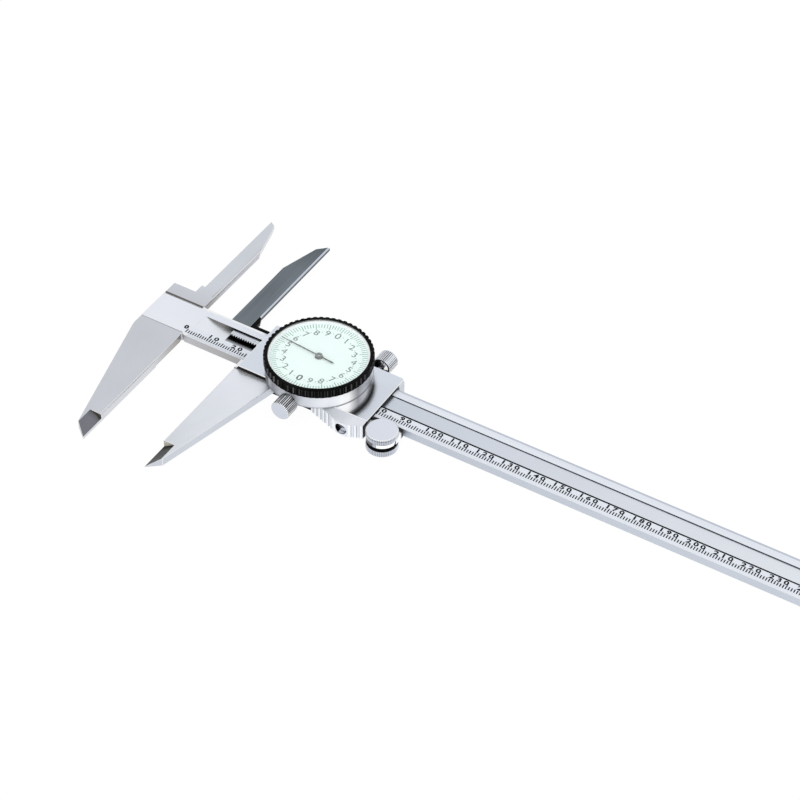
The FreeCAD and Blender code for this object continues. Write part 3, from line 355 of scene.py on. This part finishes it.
def dial_paint():
    k = Mat("dial_lacquer")
    n = k.noise(k.coords((60, 60, 60)), 1.0, 2.0, 0.5)
    f = k.noise(k.coords((4000, 4000, 4000)), 1.0, 2.0, 0.5)
    k.link(k.ramp(n, [(0.3, (0.855, 0.985, 0.945)), (0.7, (0.880, 1.0, 0.965))]), k.p.inputs["Base Color"])
    k.link(k.span(f, 0.42, 0.52), k.p.inputs["Roughness"])
    k.set(Specular_IOR_Level=0.25)
    k.bump(f, 0.1, 0.000004)
    return k.m


def ring_paint(name, a, b):
    k = Mat(name)
    n = k.noise(k.coords((300, 300, 300)), 1.0, 2.0, 0.5)
    k.link(k.ramp(n, [(0.3, a), (0.7, b)]), k.p.inputs["Base Color"])
    k.link(k.span(n, 0.35, 0.45), k.p.inputs["Roughness"])
    k.set(Specular_IOR_Level=0.25)
    return k.m


def ink(name, a, b, rough=(0.35, 0.5)):
    k = Mat(name)
    n = k.noise(k.coords((2600, 2600, 2600)), 1.0, 3.0, 0.6)
    k.link(k.ramp(n, [(0.3, a), (0.7, b)]), k.p.inputs["Base Color"])
    k.link(k.span(n, rough[0], rough[1]), k.p.inputs["Roughness"])
    k.set(Specular_IOR_Level=0.05)
    return k.m


M_BRASS = brass()
M_BEZEL = black_ring("bezel_black", 0.003, 0.006)
M_BEZEL_LIT = black_ring("bezel_black_flank", 0.004, 0.12, True)
M_BEZEL_LIT2 = black_ring("bezel_black_far_flank", 0.004, 0.10, True)
M_BEZEL_TOP = black_ring("bezel_black_top", 0.004, 0.010)
M_DIAL = dial_paint()
M_RING = ring_paint("rim_ring_white", (0.98, 0.99, 0.99), (1.0, 1.0, 1.0))
M_RING_LINE = ring_paint("rim_ring_line", (0.60, 0.74, 0.78), (0.66, 0.79, 0.83))
M_SCALE_INK = ink("scale_filling", (0.002, 0.002, 0.0025), (0.005, 0.005, 0.006))
M_DIAL_INK = ink("dial_print_fine", (0.17, 0.31, 0.245), (0.22, 0.37, 0.30))
M_DIAL_DIGIT = ink("dial_print_digit", (0.10, 0.15, 0.13), (0.14, 0.20, 0.175))
M_DIAL_BOLD = ink("dial_print_bold", (0.035, 0.055, 0.048), (0.06, 0.085, 0.075))
M_POINTER = ink("pointer_enamel", (0.010, 0.016, 0.015), (0.02, 0.028, 0.026), (0.3, 0.4))
M_HUB = ink("hub_enamel", (0.015, 0.02, 0.02), (0.03, 0.036, 0.035), (0.22, 0.3))
M_HUB_TOP = satin("hub_polished", tone(104, 110, 112), 0.06, (0.18, 0.26))


def crystal_mat():
    k = Mat("crystal_clear")
    n = k.noise(k.coords((200, 200, 200)), 1.0, 2.0, 0.5)
    k.link(k.ramp(n, [(0.3, (0.93, 1.0, 0.97)), (0.7, (0.96, 1.0, 0.98))]), k.p.inputs["Base Color"])
    k.link(k.span(n, 0.02, 0.05), k.p.inputs["Roughness"])
    k.set(Alpha=0.10, IOR=1.49)
    return k.m


M_CRYSTAL = crystal_mat()


# ---------------------------------------------------------------------------
# Helpers for pieces
# ---------------------------------------------------------------------------
def add_object(name, me, body):
    o = bpy.data.objects.new(name, me)
    COLL.objects.link(o)
    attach(o, body)
    return o


def sharpen(me, deg):
    for p in me.polygons:
        p.use_smooth = True
    me.set_sharp_from_angle(angle=math.radians(deg))


def finish_node(node, body, mats, classify, width=0.00010, sharp=26.0, edge_index=None, smooth=20.0, keep=None):
    """A piece with the CAD node's own faces, its sharp edges broken by a small chamfer.
    mats are the piece's materials; classify(face normal, centre in mm) gives an index into them."""
    src = NODES[node]
    bm = bmesh.new()
    bm.from_mesh(src.data)
    bmesh.ops.remove_doubles(bm, verts=bm.verts, dist=4e-7)
    bmesh.ops.dissolve_limit(bm, angle_limit=math.radians(0.7), use_dissolve_boundaries=False, verts=bm.verts, edges=bm.edges)
    bm.normal_update()
    for f in bm.faces:
        c = f.calc_center_median() * 1000
        f.material_index = classify(f.normal, c)
    if width:
        edges = [e for e in bm.edges if e.is_manifold and len(e.link_faces) == 2 and e.is_convex and e.calc_face_angle(0) > math.radians(sharp)
                 and (keep is None or not keep((e.verts[0].co + e.verts[1].co) * 500))]
        bmesh.ops.bevel(bm, geom=edges, offset=width, offset_type="OFFSET", segments=1, profile=0.5, affect="EDGES",
                        clamp_overlap=False, material=-1 if edge_index is None else edge_index, loop_slide=True)
    bm.normal_update()
    me = bpy.data.meshes.new(node + "_finish")
    bm.to_mesh(me)
    bm.free()
    for m in mats:
        me.materials.append(m)
    sharpen(me, smooth)
    o = add_object(node + "_finish", me, body)
    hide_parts(node)
    return o


def paint(node, mat, smooth=None):
    """The CAD node keeps its mesh and takes this finish."""
    o = NODES[node]
    o.data.materials.clear()
    o.data.materials.append(mat)
    if smooth:
        sharpen(o.data, smooth)
    return o


def join_bmesh(target, verts, faces, idx=0):
    vs = [target.verts.new(v) for v in verts]
    for f in faces:
        nf = target.faces.new([vs[i] for i in f])
        nf.material_index = idx
    return vs


def slab(bm, outline, z0, z1, idx=0):
    """A thin closed slab from a convex outline in mm."""
    n = len(outline)
    low = [Vector((x * MM, y * MM, z0 * MM)) for x, y in outline]
    high = [Vector((x * MM, y * MM, z1 * MM)) for x, y in outline]
    faces = [tuple(range(n, 2 * n)), tuple(reversed(range(n)))]
    for i in range(n):
        j = (i + 1) % n
        faces.append((i, j, n + j, n + i))
    join_bmesh(bm, low + high, faces, idx)


def bar(bm, x0, y0, x1, y1, w, z0, z1, idx=0, w2=None):
    """A thin straight stroke from one point to another, in mm."""
    d = Vector((x1 - x0, y1 - y0))
    n = Vector((-d.y, d.x)).normalized()
    a, b2 = w / 2, (w if w2 is None else w2) / 2
    slab(bm, [(x0 - n.x * a, y0 - n.y * a), (x1 - n.x * b2, y1 - n.y * b2), (x1 + n.x * b2, y1 + n.y * b2), (x0 + n.x * a, y0 + n.y * a)], z0, z1, idx)


def disc(bm, x, y, r, z0, z1, idx=0, n=20):
    slab(bm, [(x + r * math.cos(2 * math.pi * i / n), y + r * math.sin(2 * math.pi * i / n)) for i in range(n)], z0, z1, idx)


GLYPHS = {}


def glyph(ch, weight):
    """A numeral as a thin closed mesh, one unit high with its lower left at the origin, and its width."""
    key = (ch, weight)
    if key in GLYPHS:
        return GLYPHS[key]
    cu = bpy.data.curves.new("glyph", "FONT")
    cu.body = ch
    cu.size = 1.0
    cu.resolution_u = 4
    cu.offset = weight
    cu.fill_mode = "FRONT"
    tmp = bpy.data.objects.new("glyph", cu)
    COLL.objects.link(tmp)
    bpy.context.view_layer.update()
    dg = bpy.context.evaluated_depsgraph_get()
    me = bpy.data.meshes.new_from_object(tmp.evaluated_get(dg))
    vs = [v.co.copy() for v in me.vertices]
    fs = [tuple(p.vertices) for p in me.polygons]
    bpy.data.objects.remove(tmp)
    bpy.data.curves.remove(cu)
    bpy.data.meshes.remove(me)
    x0, x1 = min(v.x for v in vs), max(v.x for v in vs)
    y0, y1 = min(v.y for v in vs), max(v.y for v in vs)
    s = 1.0 / (y1 - y0)
    vs = [Vector(((v.x - x0) * s, (v.y - y0) * s, 0)) for v in vs]
    GLYPHS[key] = (vs, fs, (x1 - x0) * s)
    return GLYPHS[key]


def digit(bm, ch, cx, cy, h, z0, z1, idx=0, weight=0.0, wide=1.0, turn=0.0):
    """A numeral centred at cx, cy, of height h, in mm, as a closed slab."""
    vs, fs, w = glyph(ch, weight)
    rot = Matrix.Rotation(turn, 3, "Z")
    top = []
    for v in vs:
        p = rot @ Vector(((v.x - w / 2) * h * wide, (v.y - 0.5) * h, 0))
        top.append(Vector(((cx + p.x) * MM, (cy + p.y) * MM, z1 * MM)))
    tmp = bmesh.new()
    join_bmesh(tmp, top, fs, idx)
    bmesh.ops.remove_doubles(tmp, verts=tmp.verts, dist=1e-8)
    bmesh.ops.recalc_face_normals(tmp, faces=tmp.faces)
    tmp.normal_update()
    if sum(f.normal.z * f.calc_area() for f in tmp.faces) < 0:
        bmesh.ops.reverse_faces(tmp, faces=tmp.faces)
    r = bmesh.ops.extrude_face_region(tmp, geom=tmp.faces[:])
    new = [g for g in r["geom"] if isinstance(g, bmesh.types.BMVert)]
    for v in new:
        v.co.z = z0 * MM
    bmesh.ops.recalc_face_normals(tmp, faces=tmp.faces)
    me = bpy.data.meshes.new("tmp")
    tmp.to_mesh(me)
    tmp.free()
    bm.from_mesh(me)
    bpy.data.meshes.remove(me)


def mesh_piece(name, bm, mats, body, smooth=None):
    me = bpy.data.meshes.new(name)
    bm.normal_update()
    bm.to_mesh(me)
    bm.free()
    for m in mats:
        me.materials.append(m)
    if smooth:
        sharpen(me, smooth)
    return add_object(name, me, body)


# ---------------------------------------------------------------------------
# The beam
# ---------------------------------------------------------------------------
BEAM_MATS = [M_BACK, M_BLOCK, M_SCALE, M_LAND, M_BEVEL, M_SIDE, M_JAW, M_MEASURE, M_NIB, M_NIB_WALL, M_GROOVE, M_GROOVE_WALL, M_EDGE, M_INFIX, M_INEDGE, M_RUNOUT]


def beam_faces(n, c):
    x, y, z = c.x, c.y, c.z
    if n.z > 0.999:
        if z > -0.01:
            return 1
        if z > -0.03:
            return 2 if y < 0 else 3
        if z > -0.24:
            return 13 if y > 0 else 6
        if -2.3 < z < -1.9:
            return 10
        return 5
    if y < -54 and x < 2 and n.x > 0.3 and n.z > 0.3:
        return 8
    if -58 < y < -55.5 and x > -4.9 and abs(n.y) > 0.8 and z > -2.5:
        return 9
    if n.z > 0.85 and y > 6 and x > 0:
        return 4
    if n.z > 0.9 and 1.5 < x < 14 and -3 < y < 5:
        return 15
    if abs(n.z) < 0.1 and z > -2.15 and -3.0 <= y <= 4.4 and x > 1.9:
        return 11
    if y > 7.5 and n.x > 0.3 and x < 0:
        return 14
    if n.x > 0.7 and abs(n.z) < 0.8 and y < -8.2:
        return 7
    if n.z < -0.9:
        return 0
    return 5


beam_piece = finish_node("main_beam", "beam", BEAM_MATS, beam_faces, 0.00008, edge_index=12, keep=lambda c: 1.5 < c.x < 372 and -3.2 < c.y < 4.6)
finish_node("rack", "beam", [M_RACK, M_RACKFACE], lambda n, c: 1 if (n.y < -0.25 or abs(n.x) > 0.5) and c.y < 3 else 0, 0)
paint("rack_screws", M_STEEL)
paint("travel_stop_screw", M_STEEL)

# graduation: one line a millimetre, longer at 5 and 10, and the tens' numbers beside their lines
bm = bmesh.new()
ZF = -0.02
for i in range(0, 301):
    x = SX0 + i
    z0 = (ZF if x > 1.7 else 0.0) - 0.02
    z1 = z0 + 0.032
    top = 3.45 if i % 5 == 0 else 3.0
    low = 1.45
    bar(bm, x, SY0 + low, x, SY0 + top, 0.42, z0, z1)
for i in range(0, 301, 10):
    s = str(i)
    y = SY0 + 4.14
    if i == 0:
        digit(bm, "0", SX0 - 1.2, SY0 + 4.0, 2.0, -0.02, 0.012, 0, 0.06, 1.25)
        continue
    xs = [i - 1.25, i + 1.35] if len(s) == 2 else [i - 1.25, i + 1.45, i + 4.0]
    for ch, xx in zip(s, xs):
        digit(bm, ch, SX0 + xx + 0.3, y, 1.88, ZF - 0.02, ZF + 0.012, 0, 0.04, 1.42)
mesh_piece("scale_graduation", bm, [M_SCALE_INK], "beam")

# ---------------------------------------------------------------------------
# The slider
# ---------------------------------------------------------------------------
SLIDER_MATS = [M_BACK, M_JAW2, M_SIDE_R, M_MEASURE, M_NIB2, M_NIB_WALL, M_INJAW, M_DARK, M_STEP_SHADE, M_LUG, M_EDGE, M_INWALL, M_RIB, M_FLUTE, M_FLANK, M_ROD, M_END]
LUG_EDGE = [(57.9, -13.2), (64.5, -15.4), (69.5, -16.95), (72.9, -17.6), (76.4, -16.85), (80.3, -15.2)]


def lug_side(n, c):
    """Crest, floor or flank of the thumb rest's flutes, by distance from its outer line."""
    best = (1e9, None)
    for (x0, y0), (x1, y1) in zip(LUG_EDGE[:-1], LUG_EDGE[1:]):
        d = Vector((x1 - x0, y1 - y0))
        f = max(0.0, min(1.0, ((c.x - x0) * d.x + (c.y - y0) * d.y) / d.length_squared))
        q = math.hypot(c.x - x0 - d.x * f, c.y - y0 - d.y * f)
        if q < best[0]:
            best = (q, Vector((d.y, -d.x)).normalized())
    along = n.x * best[1].x + n.y * best[1].y
    if along > 0.96:
        return 12 if best[0] < 0.14 else 13
    return 14


def frame_faces(n, c):
    x, y, z = c.x, c.y, c.z
    if y < -54 and n.x < -0.3 and n.z > 0.3:
        return 4
    if y < -54 and y > -57.0 and abs(n.y) > 0.8 and z > -3.3 and x > 25.7:
        return 5
    if n.z > 0.6 and y > 8 and x < 19 and z > -3.3:
        if z < -2.05 and y < 16.2:
            return 7
        return 15 if n.z < 0.97 else 6
    if y > 8.2 and x < 26.9 and z < -1.5:
        if n.x > 0.5 and y > 16.2:
            return 11
        return 7 if (y < 16.3 or n.z > 0.9) else 6
    if n.z > 0.9 and x > 56 and y < -12.6 and z > 0:
        return 9
    if n.z > 0.9 and y < -8:
        return 1
    if n.z < -0.9:
        return 0
    if n.x < -0.9 and y < -13:
        return 3
    if n.x > 0.9 and x > 79:
        return 16
    if n.y < -0.7 and 26 < x < 56 and -13 < y < -7.5:
        return 8
    if x > 56 and y < -12.7:
        if 70.3 < x < 75.1 and -4.7 < z < 0 and y > -16.6 + 0.0 and abs(n.z) < 0.99 and math.hypot(x - 72.7, z + 2.35) < 2.3 and y > -17.35:
            return 7
        return lug_side(n, c)
    return 2


finish_node("slider_frame", "slider", SLIDER_MATS, frame_faces, 0.00008, edge_index=10,
            keep=lambda c: (c.x > 56 and c.y < -11.5) or (c.y > 8 and c.x < 27) or (c.y > -13 and c.z > -0.3 and c.x < 56))

COVER_MATS = [M_COVER, M_END, M_STEP_SHADE, M_EDGE, M_SIDE_R]


def cover_faces(n, c):
    if n.z > 0.95:
        return 0
    if n.x > 0.9:
        return 1
    if n.y < -0.9 and c.x < 56:
        return 2
    return 0


finish_node("slider_cover", "slider", COVER_MATS, cover_faces, 0.00022, edge_index=3, keep=lambda c: c.z < 1.0)
for n in ("gib", "gib_screws", "cover_screws", "housing_screws", "bridge_screws", "depth_rod_screws", "bracket_screw", "bezel_spring"):
    paint(n, M_STEEL)
for n in ("movement_base", "movement_pillars", "movement_bridge", "arbor_bushes", "drive_wheel", "takeup_wheel"):
    paint(n, M_BRASS)
paint("centre_arbor", M_STEEL)
for n in ("pinion_arbor", "takeup_spring"):
    paint(n, M_STEEL)
paint("dial_housing", M_HOUSING, 30)

ROD_MATS = [M_ROD, M_RODWALL, M_EDGE]
finish_node("depth_rod", "slider", ROD_MATS, lambda n, c: 0 if n.z > 0.5 or abs(n.x) > 0.5 else 1, 0.00005, edge_index=0)
finish_node("roller_bracket", "slider", [M_LEAF, M_FLANK, M_UNDER], lambda n, c: 2 if n.z < -0.9 or (n.x < -0.05 and c.y < -12) else (1 if n.x < 0.2 and n.y < -0.5 and c.y < -12 else 0), 0)

# ---------------------------------------------------------------------------
# Dial, bezel and pointer
# ---------------------------------------------------------------------------
def bezel_faces(n, c):
    rad = Vector((c.x - DIAL[0], c.y - DIAL[1]))
    if n.z > 0.9:
        return 2 if c.z > 9.6 else 0
    rad.normalize()
    out = n.x * rad.x + n.y * rad.y
    turn = n.y * rad.x - n.x * rad.y
    if abs(n.z) < 0.2 and out > 0 and abs(turn) > 0.25:
        return 1 if turn > 0 else 3
    return 0


finish_node("bezel", "dial_bezel", [M_BEZEL, M_BEZEL_LIT, M_BEZEL_TOP, M_BEZEL_LIT2], bezel_faces, 0, smooth=24)
paint("dial_face", M_DIAL, 30)
paint("dial_rim_ring", M_RING, 30)
paint("crystal", M_CRYSTAL, 30)
paint("pointer", M_POINTER)
finish_node("pointer_hub", "pointer_arbor", [M_HUB, M_HUB_TOP], lambda n, c: 1 if n.z > 0.3 else 0, 0, smooth=20)

bm = bmesh.new()
Z0, Z1 = 8.33, 8.362
cx, cy = DIAL
for i in range(100):
    a = math.pi / 2 - 2 * math.pi * i / 100
    r0 = 14.2 if i % 5 == 0 else 15.1
    w = 0.27 if i % 5 == 0 else 0.24
    c, s = math.cos(a), math.sin(a)
    bar(bm, cx + r0 * c, cy + r0 * s, cx + 16.98 * c, cy + 16.98 * s, w, Z0, Z1, 0)
for i in range(20):
    a = math.pi / 2 - 2 * math.pi * i / 20
    x, y = cx + 12.5 * math.cos(a), cy + 12.5 * math.sin(a)
    ch = str(i % 10)
    if ch == "0":
        digit(bm, ch, x, y, 2.9, Z0, Z1, 2 if i else 1, 0.024 if i else 0.004, 1.12)
    else:
        digit(bm, ch, x, y, 2.6, Z0, Z1, 1, -0.004 if ch == "4" else 0.004, 1.1)
    a2 = a - 2 * math.pi / 40
    disc(bm, cx + 12.9 * math.cos(a2), cy + 12.9 * math.sin(a2), 0.2, Z0, Z1, 0, 12)
def flat_ring(bm, r0, r1, z0, z1, idx, n=160):
    ang = [2 * math.pi * i / n for i in range(n)]
    rings = []
    for rad, z in ((r0, z1), (r1, z1), (r1, z0), (r0, z0)):
        rings.append([bm.verts.new(((cx + rad * math.cos(t)) * MM, (cy + rad * math.sin(t)) * MM, z * MM)) for t in ang])
    for k in range(4):
        lo, hi = rings[k], rings[(k + 1) % 4]
        for i in range(n):
            j = (i + 1) % n
            f = bm.faces.new((lo[i], hi[i], hi[j], lo[j]))
            f.material_index = idx


flat_ring(bm, 17.22, 17.72, Z0, Z1 + 0.01, 3)
flat_ring(bm, 17.02, 17.22, Z0, Z1 + 0.005, 4)
# A thin grey ring sheet at the housing's foot: the joint with painted contact shade.
seam_shade_mesh = bmesh.new()
flat_ring(seam_shade_mesh, 18.9, 19.1, 1.66, 1.722, 0)
mesh_piece("dial_print", bm, [M_DIAL_INK, M_DIAL_DIGIT, M_DIAL_BOLD, M_RING, M_RING_LINE], "dial_bezel")
mesh_piece("housing_seam_shade", seam_shade_mesh, [M_SEAM_SHADE], "slider")

# ---------------------------------------------------------------------------
# Knurled screws and the thumb roller
# ---------------------------------------------------------------------------
def knurled(axis_point, axis, r_out, mats_by):
    """Classifier for a knurled piece: crest, groove and the two flanks, or an end face."""
    ax = Vector(axis)
    p0 = Vector(axis_point)

    def pick(n, c):
        if abs(n.dot(ax)) > 0.9:
            return mats_by["end"]
        d = c - p0
        rad = d - ax * d.dot(ax)
        dist = rad.length
        if dist < r_out - 0.8:
            return mats_by["stem"]
        if abs(n.dot(ax)) > 0.3:
            return mats_by["rim"]
        rad.normalize()
        turn = ax.cross(rad).dot(n)
        if turn > 0.3:
            return mats_by["left"]
        if turn < -0.3:
            return mats_by["right"]
        return mats_by["crest"] if dist > r_out - 0.12 else mats_by["groove"]
    return pick


def knob_pick(r_out, x0, z0, sign):
    """End face, chamfers, ridge crests and grooves, and the hollow round the stem."""
    base = knurled((x0, 0, z0), (0, sign, 0), r_out, {"end": 0, "rim": 1, "crest": 2, "groove": 3, "left": 3, "right": 3, "stem": 4})

    def pick(n, c):
        dist = math.hypot(c.x - x0, c.z - z0)
        if n.y * sign < -0.9:
            return 1 if dist > r_out - 1.2 else (6 if dist > 1.3 else 5)
        if dist < r_out - 0.75 and abs(n.y) < 0.5 and dist > 1.5:
            return 6
        if n.y * sign < -0.3:
            return 1
        return base(n, c)
    return pick


KNOB_MATS = [M_KNOB_END, M_KNOB_LIT, M_GRIP, M_GRIP_LOW, M_STEEL, M_EDGE, M_DARK]
LOCK_MATS = [M_KNOB_END, M_KNOB_LIT, M_GRIP2, M_GRIP2_LOW, M_STEEL, M_EDGE, M_DARK]
finish_node("slider_lock_screw", "lock_screw", LOCK_MATS, knob_pick(3.65, 68.8, -1.4, 1), 0, smooth=18)
finish_node("bezel_clamp_screw", "clamp_screw", KNOB_MATS, knob_pick(3.6, 53.7, 3.7, -1), 0, smooth=18)

ROLL_MATS = [M_ROLLER, M_ROLLER_RIM, M_KNURL, M_KNURL_LOW, M_UNDER, M_STEEL]
# Grooves and left flanks take the darker knurl copy, right flanks the lighter one: painted light and shade on the
# knurl.
ROLL_KEY = {"end": 0, "rim": 1, "crest": 2, "groove": 3, "left": 3, "right": 2, "stem": 4}
top_pick = knurled((87.5, -14.15, 0), (0, 0, 1), 5.72, ROLL_KEY)
low_pick = knurled((87.5, -14.15, 0), (0, 0, 1), 5.72, dict(ROLL_KEY, end=4, rim=2))
finish_node("thumb_roller", "roller", ROLL_MATS, lambda n, c: 4 if (1.35 < c.z < 1.68 and math.hypot(c.x - 87.5, c.y + 14.15) > 4.9) else (top_pick(n, c) if c.z > -0.3 and n.z > -0.5 else 4),
            0, smooth=18)
finish_node("roller_flange", "roller", ROLL_MATS, lambda n, c: 0 if n.z < -0.9 else low_pick(n, c), 0, smooth=18)
paint("roller_screw", M_STEEL, 25)

# ---------------------------------------------------------------------------
# Camera: azimuth, elevation and roll as in the photograph
# ---------------------------------------------------------------------------
az, el, roll = math.radians(30.599), math.radians(43.41), math.radians(0.882)
D, OX, OY, F = 906.09, -77.4117, 23.4347, 2539.21
b = Vector((math.sin(az) * math.cos(el), -math.cos(az) * math.cos(el), math.sin(el)))
r = Vector((math.cos(az), math.sin(az), 0))
u = b.cross(r)
r2 = r * math.cos(roll) + u * math.sin(roll)
u2 = u * math.cos(roll) - r * math.sin(roll)
pos = b * D - r2 * OX - u2 * OY + Vector((SX0, SY0, 0))
cam_data = bpy.data.cameras.new("camera")
cam_data.sensor_width = 36.0
cam_data.lens = F * 36.0 / 800.0
cam_data.clip_start = 0.01
cam_data.clip_end = 50.0
cam = bpy.data.objects.new("camera", cam_data)
COLL.objects.link(cam)
m = Matrix((r2, u2, b)).transposed().to_4x4()
m.translation = pos * MM
cam.matrix_world = m
SCENE.camera = cam

# ---------------------------------------------------------------------------
# Floor, light and sky
# ---------------------------------------------------------------------------
SCENE.view_settings.view_transform = "Standard"
SCENE.view_settings.look = "None"
SCENE.view_settings.exposure = 0.0
SCENE.view_settings.gamma = 1.0

floor_me = bpy.data.meshes.new("floor")
S = 6.0
zf = LO0.z - 0.00002
floor_me.from_pydata([(-S, -S, zf), (S, -S, zf), (S, S, zf), (-S, S, zf)], [], [(0, 1, 2, 3)])
floor = bpy.data.objects.new("floor", floor_me)
COLL.objects.link(floor)
fm = bpy.data.materials.new("floor_white")
fm.use_nodes = True
t = fm.node_tree
t.nodes.clear()
out = t.nodes.new("ShaderNodeOutputMaterial")
mixs = t.nodes.new("ShaderNodeMixShader")
em = t.nodes.new("ShaderNodeEmission")
em.inputs["Color"].default_value = (1, 1, 1, 1)
em.inputs["Strength"].default_value = 1.02
df = t.nodes.new("ShaderNodeBsdfDiffuse")
df.inputs["Color"].default_value = (0.95, 0.95, 0.95, 1)
mixs.inputs[0].default_value = 0.07
t.links.new(em.outputs[0], mixs.inputs[1])
t.links.new(df.outputs[0], mixs.inputs[2])
t.links.new(mixs.outputs[0], out.inputs[0])
floor_me.materials.append(fm)

world = bpy.data.worlds.new("studio")
SCENE.world = world
world.use_nodes = True
t = world.node_tree
t.nodes.clear()
out = t.nodes.new("ShaderNodeOutputWorld")
bg = t.nodes.new("ShaderNodeBackground")
tc = t.nodes.new("ShaderNodeTexCoord")
sep = t.nodes.new("ShaderNodeSeparateXYZ")
t.links.new(tc.outputs["Generated"], sep.inputs[0])
rampn = t.nodes.new("ShaderNodeValToRGB")
e = rampn.color_ramp.elements
e[0].position, e[0].color = 0.0, (0.80, 0.81, 0.83, 1)
e[1].position, e[1].color = 1.0, (1.0, 1.0, 1.0, 1)
x1 = e.new(0.45)
x1.color = (0.84, 0.85, 0.87, 1)
x2 = e.new(0.8)
x2.color = (0.93, 0.94, 0.95, 1)
t.links.new(sep.outputs["Z"], rampn.inputs[0])
t.links.new(rampn.outputs["Color"], bg.inputs["Color"])
bg.inputs["Strength"].default_value = 1.0
t.links.new(bg.outputs[0], out.inputs[0])


def softbox(name, loc, target, size, power, color=(1, 1, 1)):
    ld = bpy.data.lights.new(name, "AREA")
    ld.shape = "RECTANGLE"
    ld.size, ld.size_y = size
    ld.energy = power
    ld.color = color
    o = bpy.data.objects.new(name, ld)
    COLL.objects.link(o)
    o.location = loc
    d = Vector(target) - Vector(loc)
    o.rotation_mode = "QUATERNION"
    o.rotation_quaternion = d.to_track_quat("-Z", "Y")
    return o


key = softbox("key", (0.7, -1.0, 1.1), (0.05, 0, 0), (1.2, 1.2), 5.0)
key.visible_glossy = False
low = softbox("low", (0.75, -1.35, 0.34), (0.06, 0, 0), (1.0, 0.5), 3.6)
low.visible_glossy = False
